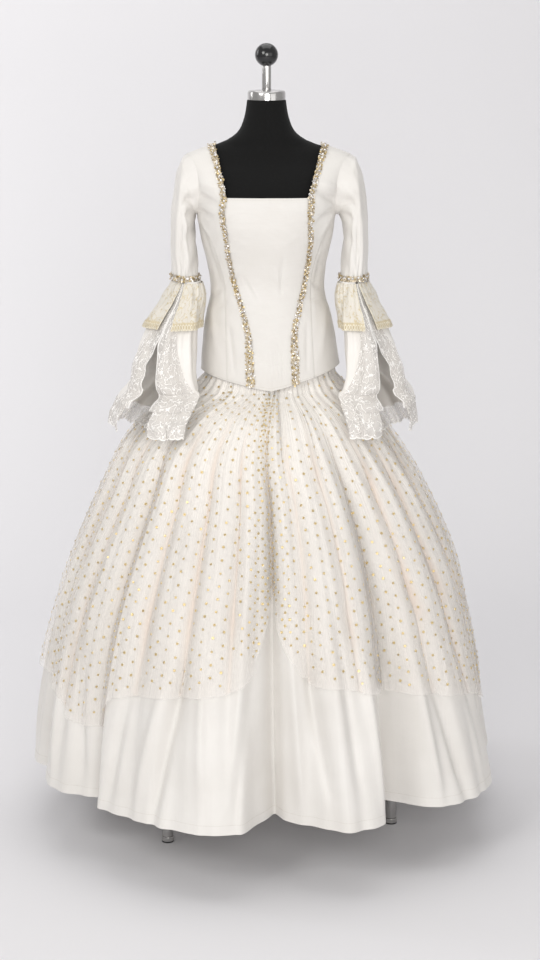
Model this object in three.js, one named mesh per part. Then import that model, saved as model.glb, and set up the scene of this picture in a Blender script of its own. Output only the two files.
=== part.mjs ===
// A rococo costume gown on a limbless dress form with a three-legged stand.
// Millimetres, +Z up. The gown faces -Y, its left arm is on +X, the stand's axis is
// the Z axis, and its feet rest on z = 0.
//
// Angles run round the body in degrees: 0 at centre front, 90 at +X, 180 at centre back.
// Every cloth piece is a wall: a grid of outer points, bottom row first, and the same
// points moved in along their normals by the cloth's thickness.
import * as THREE from "three";

// ---------------------------------------------------------------- driving sizes
const SEAM = 0.4; // gap between two cloth pieces where they are sewn
const LAY = 0.5; // gap between a piece and what it lies on
const CLOTH = { satin: 1.5, net: 1, lace: 1, brocade: 1.2, trim: 2.2, band: 1.6 };

const WAIST = 1223;
const SKIRT_TOP = 1195;
const HEM = 146;
const CHEST = 1385; // foot of the armholes
const NECKLINE = { front: 1424, back: 1446 };
const SHOULDER_POINT = { neck: 116, arm: 176 }; // distance from the middle

const STAND = {
  footCircle: 298,
  footAngles: [72.3, -47.7, 192.3],
  tube: 12,
  tip: { radius: 13.5, height: 14 },
  arm: 118,
  bend: 58,
  hub: { radius: 32, bottom: 96, top: 141 },
  pole: 16,
  formBottom: 930,
  cap: { radius: 41, bottom: 1625.3, height: 20.5 },
  rod: { radius: 10, top: 1698 },
  ball: { radius: 25, centre: 1721 },
};

// The bodice's outer surface, as level sections: half its width, and how far it
// reaches to the front and back of the middle. squareness 2 is an ellipse.
const BODICE = [
  { z: 985, width: 160, front: 114, back: 126, squareness: 2.2 },
  { z: 1035, width: 155, front: 110, back: 120, squareness: 2.2 },
  { z: 1089, width: 149, front: 106, back: 113, squareness: 2.2 },
  { z: 1127, width: 144, front: 102, back: 106, squareness: 2.2 },
  { z: 1167, width: 136, front: 97, back: 97, squareness: 2.2 },
  { z: 1196, width: 128, front: 92, back: 90, squareness: 2.2 },
  { z: 1223, width: 125, front: 90, back: 86, squareness: 2.2 },
  { z: 1269, width: 130, front: 99, back: 91, squareness: 2.2 },
  { z: 1322, width: 142, front: 115, back: 100, squareness: 2.3 },
  { z: 1362, width: 149, front: 122, back: 104, squareness: 2.4 },
  { z: 1392, width: 152, front: 119, back: 105, squareness: 2.6 },
  { z: 1424, width: 157, front: 108, back: 103, squareness: 2.8 },
  { z: 1455, width: 167, front: 93, back: 98, squareness: 3 },
  { z: 1480, width: 177, front: 77, back: 87, squareness: 3 },
  { z: 1500, width: 186, front: 63, back: 72, squareness: 2.6 },
  { z: 1511, width: 176, front: 58, back: 66, squareness: 2.4 },
  { z: 1524, width: 142, front: 55, back: 61, squareness: 2.2 },
  { z: 1533, width: 113, front: 53, back: 58, squareness: 2 },
  { z: 1541, width: 90, front: 52, back: 56, squareness: 2 },
];

// The dress form inside it, from its flat bottom to the top of the neck.
const FORM = [
  { z: 930, width: 112, front: 78, back: 86, squareness: 2.2 },
  { z: 1005, width: 120, front: 84, back: 92, squareness: 2.2 },
  { z: 1089, width: 122, front: 82, back: 88, squareness: 2.2 },
  { z: 1167, width: 116, front: 79, back: 79, squareness: 2.2 },
  { z: 1223, width: 111, front: 77, back: 73, squareness: 2.2 },
  { z: 1269, width: 122, front: 91, back: 84, squareness: 2.2 },
  { z: 1322, width: 134, front: 107, back: 92, squareness: 2.3 },
  { z: 1362, width: 141, front: 113, back: 95, squareness: 2.4 },
  { z: 1392, width: 143, front: 110, back: 96, squareness: 2.6 },
  { z: 1424, width: 146, front: 99, back: 94, squareness: 2.8 },
  { z: 1455, width: 154, front: 84, back: 88, squareness: 3 },
  { z: 1478, width: 162, front: 69, back: 78, squareness: 2.8 },
  { z: 1496, width: 166, front: 55, back: 63, squareness: 2.4 },
  { z: 1508, width: 160, front: 51, back: 58, squareness: 2 },
  { z: 1521.5, width: 137, front: 49, back: 55, squareness: 1.65 },
  { z: 1530.6, width: 108.5, front: 47, back: 52, squareness: 1.6 },
  { z: 1543, width: 80, front: 47, back: 51, squareness: 2 },
  { z: 1559, width: 61, front: 46, back: 48, squareness: 2 },
  { z: 1574, width: 53, front: 45, back: 46, squareness: 2 },
  { z: 1598, width: 46, front: 43, back: 43, squareness: 2 },
  { z: 1625, width: 42, front: 41, back: 41, squareness: 2 },
];

// The skirt's bell through the tops of its folds, without them. gather is how far
// every other column is drawn in where the cloth is pulled on to the waistband, pleat
// how much of each fold's own depth shows there, and shift how far the bell stands to +X.
const SKIRT = [
  { z: 1195, width: 122, front: 86.5, back: 84.5, gather: 1.5, pleat: 0, shift: 3.1 },
  { z: 1032, width: 145.5, front: 102, back: 111, gather: 3, pleat: 0.05, shift: 9 },
  { z: 1001, width: 176, front: 105, back: 128, gather: 4.2, pleat: 0.1, shift: 9 },
  { z: 950, width: 236, front: 197, back: 220, gather: 5.5, pleat: 0.3, shift: -5 },
  { z: 880, width: 302, front: 268, back: 288, gather: 5, pleat: 0.6, shift: -12 },
  { z: 780, width: 358, front: 330, back: 346, gather: 3, pleat: 1, shift: -5 },
  { z: 650, width: 417, front: 398, back: 410, gather: 1, pleat: 1, shift: -3 },
  { z: 510, width: 462, front: 454, back: 464, gather: 0, pleat: 0.85, shift: -5 },
  { z: 330, width: 496, front: 504, back: 508, gather: 0, pleat: 0.6, shift: -4 },
  { z: HEM, width: 523, front: 535, back: 538, gather: 0, pleat: 0.35, shift: 0 },
];

// Each fold from one valley to the next: where its valley lies round the body and how
// deep it is at the middle of the skirt. A seam joins two panels in that valley.
const FOLDS = [
  { angle: 2.5, depth: 30, seam: true },
  { angle: 12.5, depth: 18 },
  { angle: 24, depth: 17 },
  { angle: 37, depth: 32 },
  { angle: 47.5, depth: 20 },
  { angle: 60, depth: 26 },
  { angle: 75, depth: 26 },
  { angle: 89, depth: 24, seam: true },
  { angle: 112, depth: 38 },
  { angle: 134.5, depth: 34 },
  { angle: 157, depth: 38 },
  { angle: 180, depth: 36, seam: true },
  { angle: 203, depth: 38 },
  { angle: 225.5, depth: 34 },
  { angle: 248, depth: 38 },
  { angle: 270, depth: 24, seam: true },
  { angle: 285.5, depth: 26 },
  { angle: 299, depth: 24 },
  { angle: 312, depth: 32 },
  { angle: 325.5, depth: 20 },
  { angle: 338.5, depth: 19 },
  { angle: 351, depth: 20 },
];
// The four columns of one fold: their place across it and their share of the depth.
const FOLD = [
  { across: 0, depth: 1 },
  { across: 0.27, depth: 0.24 },
  { across: 0.5, depth: 0 },
  { across: 0.73, depth: 0.24 },
];

// The hem's broad lobes: how far it stands in from the bell at the floor end.
const LOBES = [
  { angle: 0, depth: 96 },
  { angle: 2.5, depth: 120 },
  { angle: 5, depth: 90 },
  { angle: 10.5, depth: 54 },
  { angle: 15, depth: 16 },
  { angle: 19, depth: -10 },
  { angle: 24, depth: -12 },
  { angle: 28, depth: 6 },
  { angle: 31.5, depth: 60 },
  { angle: 37, depth: 118 },
  { angle: 40, depth: 92 },
  { angle: 43.5, depth: 26 },
  { angle: 50, depth: -16 },
  { angle: 58, depth: -26 },
  { angle: 68, depth: -16 },
  { angle: 77, depth: 6 },
  { angle: 85, depth: 30 },
  { angle: 92, depth: 8 },
  { angle: 103, depth: 2 },
  { angle: 115, depth: 52 },
  { angle: 130, depth: -4 },
  { angle: 146, depth: 60 },
  { angle: 160, depth: 0 },
  { angle: 176, depth: 66 },
  { angle: 192, depth: -2 },
  { angle: 206, depth: 56 },
  { angle: 222, depth: 2 },
  { angle: 238, depth: 58 },
  { angle: 254, depth: 4 },
  { angle: 270, depth: -6 },
  { angle: 279, depth: -6 },
  { angle: 285, depth: 22 },
  { angle: 292, depth: -4 },
  { angle: 299, depth: -10 },
  { angle: 306, depth: 20 },
  { angle: 312, depth: 48 },
  { angle: 316, depth: 8 },
  { angle: 328, depth: 8 },
  { angle: 336, depth: -6 },
  { angle: 349, depth: -8 },
  { angle: 354, depth: 6 },
  { angle: 357, depth: 60 },
  { angle: 360, depth: 96 },
];
const LOBE_GROWTH = 1.9; // how fast the lobes deepen from waist to hem

// The height of the net overskirt's lower edge, with the cutaway at the front.
const NET_HEM = [
  { angle: -90, z: 367 },
  { angle: -66, z: 352 },
  { angle: -56, z: 306 },
  { angle: -47, z: 308 },
  { angle: -41, z: 392 },
  { angle: -26, z: 414 },
  { angle: -12, z: 430 },
  { angle: -7, z: 440 },
  { angle: -3.5, z: 478 },
  { angle: 2.5, z: 632 },
  { angle: 6, z: 528 },
  { angle: 9.5, z: 466 },
  { angle: 13, z: 446 },
  { angle: 20, z: 437 },
  { angle: 31, z: 412 },
  { angle: 46, z: 390 },
  { angle: 62, z: 358 },
  { angle: 76, z: 314 },
  { angle: 90, z: 309 },
  { angle: 118, z: 332 },
  { angle: 150, z: 304 },
  { angle: 180, z: 322 },
  { angle: 212, z: 300 },
  { angle: 244, z: 340 },
  { angle: 270, z: 367 },
];
const NET_LIFT = 7.5; // the net stands this far off the underskirt below the bodice
const NET_ROWS = { fixed: [1195, 1032, 1001, 950, 880, 780], free: 3 };

// The seam lines of the bodice: their distance from the centre line at each height.
const PRINCESS_SEAM = [
  { z: 985, x: 49 },
  { z: 1110, x: 49 },
  { z: 1200, x: 66 },
  { z: 1255, x: 79 },
  { z: 1335, x: 90 },
  { z: CHEST, x: 92 },
  { z: NECKLINE.front, x: 88 },
];
const SIDE_FRONT_SEAM = [
  { z: 985, x: 98 },
  { z: WAIST, x: 95 },
  { z: 1300, x: 111 },
  { z: 1345, x: 130 },
  { z: CHEST, x: 149.4 },
];
const BACK_SEAM = [
  { z: 985, x: 52 },
  { z: WAIST, x: 40 },
  { z: 1300, x: 56 },
  { z: CHEST, x: 78 },
  { z: NECKLINE.back, x: 92 },
];
const SIDE_BACK_SEAM = [
  { z: 985, x: 112 },
  { z: WAIST, x: 92 },
  { z: 1300, x: 110 },
  { z: 1345, x: 130 },
  { z: CHEST, x: 149.4 },
];
// How far the gown's centre line wanders to +X as it hangs.
const DRIFT = [
  { z: 985, x: 11 },
  { z: 1035, x: 9 },
  { z: 1110, x: 6 },
  { z: 1200, x: 3 },
  { z: 1300, x: 0 },
  { z: CHEST, x: 0 },
  { z: 1424, x: 2 },
  { z: 1500, x: 4 },
];
// The bodice's lower edge by distance from its centre line, front and back.
const BODICE_HEM = [
  { x: 0, front: 1006, back: 1024 },
  { x: 30, front: 1012, back: 1026 },
  { x: 62, front: 1021, back: 1029 },
  { x: 110, front: 1030, back: 1034 },
  { x: 160, front: 1041, back: 1041 },
];
const HEM_TILT = 0.04; // the hem rises towards +X
const BODICE_ROWS = [1062, 1096, 1130, 1165, 1196, 1223, 1265, 1305, 1345, CHEST];
// Rows over the chest and shoulder, as shares of the way up from CHEST. The second
// is the height of the front neckline's corner.
const STRAP_ROWS = [0.2635, 0.5, 0.7, 0.84, 0.94, 1];
const ARMHOLE = [
  { share: 0, x: 149.4 },
  { share: 0.2635, x: 148 },
  { share: 0.5, x: 149 },
  { share: 0.7, x: 154 },
  { share: 0.84, x: 161 },
  { share: 0.94, x: 169 },
  { share: 1, x: SHOULDER_POINT.arm },
];
const UNDERARM_COLUMNS = 4;
const UNDERARM_DIP = 6;

const TRIM = [
  { z: 985, width: 19 },
  { z: 1110, width: 16 },
  { z: 1223, width: 13 },
  { z: 1335, width: 12 },
  { z: CHEST, width: 14 },
  { z: 1541, width: 17 },
];

// The sleeve, as rings: the outermost and innermost points of each, half its depth
// from front to back, and the middle of that depth. The first ring is the armhole.
const SLEEVE = [
  { outer: [187, 1503], inner: [154.2, 1379], depth: 57, y: -4 },
  { outer: [199, 1467], inner: [156, 1368], depth: 58, y: -7 },
  { outer: [204.5, 1424], inner: [156.5, 1354], depth: 57, y: -10 },
  { outer: [208.5, 1372], inner: [155, 1332], depth: 55, y: -15 },
  { outer: [209.5, 1318], inner: [152, 1300], depth: 52, y: -20 },
  { outer: [208, 1274], inner: [149.5, 1268], depth: 50, y: -24 },
  { outer: [206, 1240], inner: [148, 1240], depth: 48, y: -27 },
];

// The flounce below the elbow, as level rings laid round the body: the middle of the
// ring and half its length round the body in degrees, how far it stands off the body,
// its thickness out from there, and how far its ripples stand in and out.
const FLOUNCE = [
  { z: 1239.6, angle: 81.3, length: 15.4, off: 23, thick: 58, wave: 0.4 },
  { z: 1190, angle: 80, length: 17.5, off: 23, thick: 80, wave: 2 },
  { z: 1139, angle: 78, length: 19.5, off: 25, thick: 101, wave: 4 },
  { z: 1089, angle: 75.5, length: 21, off: 26, thick: 118, wave: 5 },
  { z: 1041, angle: 72, length: 22.5, off: 32, thick: 124, wave: 5 },
  { z: 1001, angle: 69, length: 24, off: 33, thick: 118, wave: 5.5 },
  { z: 960, angle: 66, length: 24.5, off: 24, thick: 92, wave: 6 },
  { z: 920, angle: 64, length: 23.5, off: 17, thick: 58, wave: 6.5 },
];
// Where the flounce and the cuff are open: an angle round the ring, and half the gap.
const SPLIT = [
  { z: 920, angle: 12, flounce: 20, cuff: 12 },
  { z: 1139, angle: 44, flounce: 9, cuff: 12 },
  { z: 1239.6, angle: 52, flounce: 4, cuff: 5 },
];
const FLOUNCE_RIPPLES = 7;
const FLOUNCE_EDGE = [0, 0.03, 0.07]; // the first columns, which the lace edging lies on
const FLOUNCE_COLUMNS = [
  ...FLOUNCE_EDGE,
  ...Array.from({ length: 21 }, (_, i) => 0.11 + i * 0.039),
  ...FLOUNCE_EDGE.map((share) => 1 - share).reverse(),
];
const FLOUNCE_ROWS = [960, 1006, 1060, 1120, 1180, 1239.6];
// The lace lies this far off the satin, falls below its hem, and spills past its split by
// an angle. frill is the depth of its gathers, and fall its share across the strip.
const LACE = {
  lay: { hem: 1.1, edges: 1.65 },
  drop: 38,
  scallop: 4,
  bottom: 1010,
  top: 1198,
  spill: 5,
  frill: 9,
  frills: 5,
  fall: [0.9, 0.5, 0.1],
  rows: 14,
};
const CUFF = {
  columns: 16,
  rows: [
    { z: 1141, out: 10 },
    { z: 1178, out: 9.5 },
    { z: 1211, out: 8 },
    { z: 1236, out: 2.5 },
  ],
};
const ELBOW_TRIM = { from: 0.02, to: 0.38 }; // shares of the sleeve's last ring, upwards
const CLEAR = 7; // the flounce stays this far off the net and the bodice

// The two arms as they hang: how far out the sleeve and the flounce are carried, and
// how wide the flounce spreads.
const ARMS = [
  { suffix: "left", side: 1, sleeve: 13, flounce: 9, spread: 0.83 },
  { suffix: "right", side: -1, sleeve: 0, flounce: 0, spread: 1 },
];

// ---------------------------------------------------------------- small helpers
const radians = (degrees) => (degrees * Math.PI) / 180;
const mix = (a, b, share) => a + (b - a) * share;
const point = (x, y, z) => new THREE.Vector3(x, y, z);

/** Reads a table at one value of its key column; all other columns are interpolated. */
function read(table, key, value) {
  const last = table.length - 1;
  const down = table[0][key] > table[last][key];
  let i = 0;
  while (i < last - 1 && (down ? value < table[i + 1][key] : value > table[i + 1][key])) i += 1;
  const low = table[i];
  const high = table[i + 1];
  const share = THREE.MathUtils.clamp((value - low[key]) / (high[key] - low[key]), 0, 1);
  const row = {};
  for (const name of Object.keys(low)) row[name] = mix(low[name], high[name], share);
  return row;
}

/** A point on a body of level sections, at an angle round it. */
function onSection(table, angle, z, out = 0) {
  const s = read(table, "z", z);
  const power = 2 / s.squareness;
  const side = Math.sin(radians(angle));
  const ahead = Math.cos(radians(angle));
  const reach = ahead > 0 ? s.front : s.back;
  return point(
    Math.sign(side) * Math.abs(side) ** power * (s.width + out),
    -Math.sign(ahead) * Math.abs(ahead) ** power * (reach + out),
    z,
  );
}

/** How far out a point is from a body of level sections: 1 on its surface. */
function level(table, p) {
  const s = read(table, "z", p.z);
  const reach = p.y < 0 ? s.front : s.back;
  return (Math.abs(p.x) / s.width) ** s.squareness + (Math.abs(p.y) / reach) ** s.squareness;
}

/** The outward normal of such a body at a point on it. */
function bodyNormal(table, p) {
  const step = 2;
  const slope = (x, y, z) =>
    level(table, point(p.x + x, p.y + y, p.z + z)) - level(table, point(p.x - x, p.y - y, p.z - z));
  return point(slope(step, 0, 0), slope(0, step, 0), slope(0, 0, step)).normalize();
}

/** The y of the bodice's surface at a distance from the middle and a height. */
function bodiceDepth(x, z, face) {
  const s = read(BODICE, "z", z);
  const share = Math.min(Math.abs(x) / s.width, 1);
  const y = (1 - share ** s.squareness) ** (1 / s.squareness);
  return face === "front" ? -y * s.front : y * s.back;
}

/** The height of the shoulder's ridge at a distance from the middle. */
function ridge(x) {
  const slope = BODICE.filter((row) => row.z >= 1511);
  return read(slope, "width", Math.abs(x)).z;
}

/** Outward normals of a grid of points, from the neighbours of each. */
function gridNormals(grid, closed) {
  const columns = grid[0].length;
  return grid.map((row, j) =>
    row.map((p, i) => {
      const below = grid[Math.max(j - 1, 0)][i];
      const above = grid[Math.min(j + 1, grid.length - 1)][i];
      const before = closed ? row[(i + columns - 1) % columns] : row[Math.max(i - 1, 0)];
      const after = closed ? row[(i + 1) % columns] : row[Math.min(i + 1, columns - 1)];
      return after.clone().sub(before).cross(above.clone().sub(below)).normalize();
    }),
  );
}

/** A grid moved along its normals. */
const moved = (grid, normals, distance) =>
  grid.map((row, j) => row.map((p, i) => p.clone().addScaledVector(normals[j][i], distance)));

/** One closed solid between two grids of the same size. */
function wallBetween(outer, inner, closed = false) {
  const rows = outer.length;
  const columns = outer[0].length;
  const positions = [outer, inner].flat(2).flatMap((p) => [p.x, p.y, p.z]);
  const at = (layer, j, i) => (layer * rows + j) * columns + (i % columns);
  const faces = [];
  const quad = (a, b, c, d) => faces.push(a, b, c, a, c, d);
  const across = closed ? columns : columns - 1;
  for (let j = 0; j < rows - 1; j += 1)
    for (let i = 0; i < across; i += 1) {
      quad(at(0, j, i), at(0, j, i + 1), at(0, j + 1, i + 1), at(0, j + 1, i));
      quad(at(1, j, i), at(1, j + 1, i), at(1, j + 1, i + 1), at(1, j, i + 1));
    }
  const top = rows - 1;
  for (let i = 0; i < across; i += 1) {
    quad(at(1, 0, i), at(1, 0, i + 1), at(0, 0, i + 1), at(0, 0, i));
    quad(at(0, top, i), at(0, top, i + 1), at(1, top, i + 1), at(1, top, i));
  }
  if (!closed) {
    const end = columns - 1;
    for (let j = 0; j < top; j += 1) {
      quad(at(1, j, 0), at(0, j, 0), at(0, j + 1, 0), at(1, j + 1, 0));
      quad(at(0, j, end), at(1, j, end), at(1, j + 1, end), at(0, j + 1, end));
    }
  }
  const geometry = new THREE.BufferGeometry();
  geometry.setAttribute("position", new THREE.Float32BufferAttribute(positions, 3));
  geometry.setIndex(faces);
  return geometry;
}

/** The same grid with its two end columns drawn in, to leave the seam's gap. */
function drawnIn(grid, distance = SEAM / 2) {
  return grid.map((row) => {
    const ends = row.map((p) => p.clone());
    const last = row.length - 1;
    ends[0].addScaledVector(row[1].clone().sub(row[0]).normalize(), distance);
    ends[last].addScaledVector(row[last - 1].clone().sub(row[last]).normalize(), distance);
    return ends;
  });
}

/** Mirrors a grid to the other side of the body, and keeps its faces outwards. */
const mirrored = (grid) =>
  grid.map((row) => row.map((p) => point(-p.x, p.y, p.z)).reverse());

const gown = new THREE.Group();
const finishes = {
  satin: new THREE.MeshStandardMaterial({ color: 0xece7df, roughness: 0.55 }),
  ribbed_satin: new THREE.MeshStandardMaterial({ color: 0xeeeae1, roughness: 0.6 }),
  dotted_net: new THREE.MeshStandardMaterial({ color: 0xe6dccb, roughness: 0.7 }),
  lace: new THREE.MeshStandardMaterial({ color: 0xdedad6, roughness: 0.75 }),
  brocade: new THREE.MeshStandardMaterial({ color: 0xe2d9b8, roughness: 0.45 }),
  sequin_trim: new THREE.MeshStandardMaterial({ color: 0xb89b5e, roughness: 0.3, metalness: 0.7 }),
  form_cover: new THREE.MeshStandardMaterial({ color: 0x0b0b0c, roughness: 0.9 }),
  chrome: new THREE.MeshStandardMaterial({ color: 0xb9b9bb, roughness: 0.15, metalness: 1 }),
  black_plastic: new THREE.MeshStandardMaterial({ color: 0x0c0c0d, roughness: 0.3 }),
  rubber: new THREE.MeshStandardMaterial({ color: 0x18181a, roughness: 0.9 }),
};

function add(name, geometry, finish) {
  const mesh = new THREE.Mesh(geometry, finishes[finish]);
  mesh.name = name;
  gown.add(mesh);
  return mesh;
}

// ---------------------------------------------------------------- bodice
/** The bodice hem's height at a distance from its centre line. */
const hemHeight = (x, face) => read(BODICE_HEM, "x", Math.abs(x))[face];

/** Tilts the hem row of a bodice grid; its points keep to the bodice's surface. */
function tilted(grid) {
  const [hem, ...rest] = grid;
  return [hem.map((p) => point(p.x, p.y, p.z + HEM_TILT * p.x)), ...rest];
}

/** The share of the section's angle at which the bodice has a given x and height. */
function angleAt(x, z, face) {
  const s = read(BODICE, "z", z);
  const share = Math.min(Math.abs(x) / s.width, 1);
  const angle = (Math.asin(share ** (s.squareness / 2)) * 180) / Math.PI;
  return face === "front" ? angle : 180 - angle;
}

/** A grid of bodice points between two seams, from the hem up to the last row. */
function bodiceGrid(startAt, endAt, columns, rows, hemFace) {
  return [0, ...rows].map((row, j) =>
    columns.map((share) => {
      const z = j === 0 ? rows[0] : row;
      const angle = mix(startAt(z), endAt(z), share);
      if (j > 0) return onSection(BODICE, angle, z);
      const above = onSection(BODICE, angle, z);
      const hem = hemHeight(above.x, hemFace);
      return onSection(BODICE, mix(startAt(hem), endAt(hem), share), hem);
    }),
  );
}

/** Moves a bodice point sideways with the drift of the gown's centre line. */
const drifted = (grid) =>
  grid.map((row) => row.map((p) => point(p.x + read(DRIFT, "z", p.z).x, p.y, p.z)));

/** A wall on the bodice's surface; the grid is given before the drift. */
function bodiceWall(grid, thickness = CLOTH.satin, lift = 0) {
  const normals = grid.map((row) => row.map((p) => bodyNormal(BODICE, p)));
  const cut = drawnIn(grid);
  const outer = moved(cut, normals, lift);
  const inner = moved(cut, normals, lift - thickness);
  return wallBetween(drifted(tilted(outer)), drifted(tilted(inner)));
}

const even = (count) => Array.from({ length: count + 1 }, (_, i) => i / count);

function frontCentre() {
  const rows = [...BODICE_ROWS, NECKLINE.front];
  const right = (z) => angleAt(read(PRINCESS_SEAM, "z", z).x, z, "front");
  const columns = [0, 0.13, 0.3, 0.5, 0.7, 0.87, 1];
  add(
    "front_centre",
    bodiceWall(bodiceGrid((z) => -right(z), right, columns, rows, "front")),
    "ribbed_satin",
  );
}

/** The upper rows of a side front or side back, over the chest and the shoulder. */
function strapGrid(seam, columns, face) {
  const corner = { x: read(seam, "z", NECKLINE[face]).x, z: NECKLINE[face] };
  const cornerShare = (corner.z - CHEST) / (ridge(corner.x) - CHEST);
  const neckEdge = [
    { share: 0, x: read(seam, "z", CHEST).x },
    { share: cornerShare, x: corner.x },
    { share: 1, x: SHOULDER_POINT.neck },
  ];
  return STRAP_ROWS.map((armShare, j) => {
    const neckShare = j === 0 ? cornerShare : armShare;
    const from = read(neckEdge, "share", neckShare).x;
    const to = read(ARMHOLE, "share", armShare).x;
    return columns.map((across) => {
      const x = mix(from, to, across);
      const z = mix(CHEST, ridge(x), mix(neckShare, armShare, across));
      if (armShare === 1) return point(x, face === "front" ? -SEAM / 2 : SEAM / 2, ridge(x));
      return point(x, bodiceDepth(x, z, face), z);
    });
  });
}

/** Side front or side back of the +X side, from its inner seam to the armhole. */
function sidePanelGrid(face) {
  const inner = face === "front" ? PRINCESS_SEAM : BACK_SEAM;
  const outer = face === "front" ? SIDE_FRONT_SEAM : SIDE_BACK_SEAM;
  const columns = [0, 0.3, 0.65, 1];
  const start = (z) => angleAt(read(inner, "z", z).x, z, face);
  const end = (z) => angleAt(read(outer, "z", z).x, z, face);
  const lower = bodiceGrid(start, end, columns, BODICE_ROWS, face);
  const grid = [...lower, ...strapGrid(inner, columns, face)];
  return face === "front" ? grid : grid.map((row) => [...row].reverse());
}

/** The panel under the arm of the +X side; its top is the foot of the armhole. */
function underarmGrid() {
  const start = (z) => angleAt(read(SIDE_FRONT_SEAM, "z", z).x, z, "front");
  const end = (z) => angleAt(read(SIDE_BACK_SEAM, "z", z).x, z, "back");
  const columns = even(UNDERARM_COLUMNS);
  const grid = bodiceGrid(start, end, columns, BODICE_ROWS, "front");
  grid[grid.length - 1] = columns.map((share) => {
    const z = CHEST - UNDERARM_DIP * Math.sin(Math.PI * share);
    return onSection(BODICE, mix(start(CHEST), end(CHEST), share), z);
  });
  return grid;
}

function backCentreGrid() {
  const rows = [...BODICE_ROWS, NECKLINE.back];
  const start = (z) => angleAt(read(BACK_SEAM, "z", z).x, z, "back");
  return bodiceGrid(start, () => 180, [0, 0.5, 1], rows, "back");
}

function bodice() {
  frontCentre();
  const panels = {
    front_side: sidePanelGrid("front"),
    underarm: underarmGrid(),
    back_side: sidePanelGrid("back"),
    back_centre: backCentreGrid(),
  };
  for (const [name, grid] of Object.entries(panels)) {
    add(`${name}_left`, bodiceWall(grid), "satin");
    add(`${name}_right`, bodiceWall(mirrored(grid)), "satin");
  }
}

/** The sequin trim over the princess seam and along the neckline's edge, +X side. */
function trimGrid() {
  const lower = [hemHeight(read(PRINCESS_SEAM, "z", 1020).x, "front"), ...BODICE_ROWS];
  const across = (x, z, from, to) =>
    [from, (from + to) / 2, to].map((side) => point(x + side, bodiceDepth(x + side, z, "front"), z));
  const grid = lower.map((z) => {
    const half = read(TRIM, "z", z).width / 2;
    return across(read(PRINCESS_SEAM, "z", z).x, z, -half, half);
  });
  const strap = strapGrid(PRINCESS_SEAM, [0, 0.16, 0.32], "front");
  return [...grid, ...strap];
}

function bodiceTrim() {
  const grid = trimGrid();
  const lift = LAY + CLOTH.trim;
  add("front_trim_left", bodiceWall(grid, CLOTH.trim, lift), "sequin_trim");
  add("front_trim_right", bodiceWall(mirrored(grid), CLOTH.trim, lift), "sequin_trim");
}

// ---------------------------------------------------------------- skirts
/** The skirt's columns: the angle, fold depth, lobe depth and gather of each. */
function skirtColumns() {
  return FOLDS.flatMap((valley, k) => {
    const next = FOLDS[(k + 1) % FOLDS.length];
    const width = (next.angle - valley.angle + 360) % 360;
    return FOLD.map((column, i) => {
      const angle = (valley.angle + width * column.across) % 360;
      return {
        angle,
        depth: (i < 2 ? valley : next).depth * column.depth,
        lobe: read(LOBES, "angle", angle).depth,
        drawn: i % 2,
        seam: i === 0 && Boolean(valley.seam),
      };
    });
  });
}

const COLUMNS = skirtColumns();

/** The bell's outline at an angle and height, before folds. */
function bell(angle, z) {
  const s = read(SKIRT, "z", z);
  const reach = Math.cos(radians(angle)) > 0 ? s.front : s.back;
  return 1 / Math.hypot(Math.sin(radians(angle)) / s.width, Math.cos(radians(angle)) / reach);
}

function skirtPoint(column, z) {
  const s = read(SKIRT, "z", z);
  const fall = ((SKIRT_TOP - z) / (SKIRT_TOP - HEM)) ** LOBE_GROWTH;
  const inwards = column.depth * s.pleat + column.lobe * fall + column.drawn * s.gather;
  const radius = bell(column.angle, z) - inwards;
  const angle = radians(column.angle);
  return point(radius * Math.sin(angle) + s.shift, -radius * Math.cos(angle), z);
}

/** A point on the faceted underskirt, between its rows, at any height. */
function onUnderskirt(column, z) {
  const above = SKIRT.findLastIndex((row, i) => row.z >= z && i < SKIRT.length - 1);
  const high = SKIRT[above].z;
  const low = SKIRT[above + 1].z;
  const share = (z - low) / (high - low);
  return skirtPoint(column, low).lerp(skirtPoint(column, high), share);
}

/** Splits a full round of columns into panels at the seams, one wall for each. */
function panels(prefix, outer, inner, finish) {
  const names = ["front_left", "back_left", "back_right", "front_right"];
  const seams = COLUMNS.flatMap((column, i) => (column.seam ? [i] : []));
  seams.forEach((start, k) => {
    const end = k + 1 < seams.length ? seams[k + 1] : seams[0] + COLUMNS.length;
    const take = (grid) =>
      grid.map((row) =>
        Array.from({ length: end - start + 1 }, (_, i) => row[(start + i) % COLUMNS.length]),
      );
    const geometry = wallBetween(drawnIn(take(outer)), drawnIn(take(inner)));
    add(`${prefix}_${names[k]}`, geometry, finish);
  });
}

function underskirt() {
  const heights = SKIRT.map((row) => row.z - (row.z === SKIRT_TOP ? SEAM : 0)).reverse();
  const grid = heights.map((z) => COLUMNS.map((column) => skirtPoint(column, z)));
  const normals = gridNormals(grid, true);
  panels("underskirt", grid, moved(grid, normals, -CLOTH.satin), "satin");
}

function overskirt() {
  const fixed = NET_ROWS.fixed.map((z) => z - (z === SKIRT_TOP ? SEAM : 0)).reverse();
  const lowest = fixed[0];
  const grid = [];
  for (let k = 0; k < NET_ROWS.free; k += 1)
    grid.push(
      COLUMNS.map((column) => {
        const angle = column.angle > 270 ? column.angle - 360 : column.angle;
        const hem = read(NET_HEM, "angle", angle).z;
        return onUnderskirt(column, mix(hem, lowest, k / NET_ROWS.free));
      }),
    );
  for (const z of fixed) grid.push(COLUMNS.map((column) => skirtPoint(column, z)));
  const normals = gridNormals(grid, true);
  const lifts = grid.map((row) =>
    mix(NET_LIFT, LAY, THREE.MathUtils.clamp((row[0].z - 950) / 51, 0, 1)),
  );
  const at = (more) =>
    grid.map((row, j) =>
      row.map((p, i) => p.clone().addScaledVector(normals[j][i], lifts[j] + more)),
    );
  panels("overskirt", at(CLOTH.net), at(0), "dotted_net");
}

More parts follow.
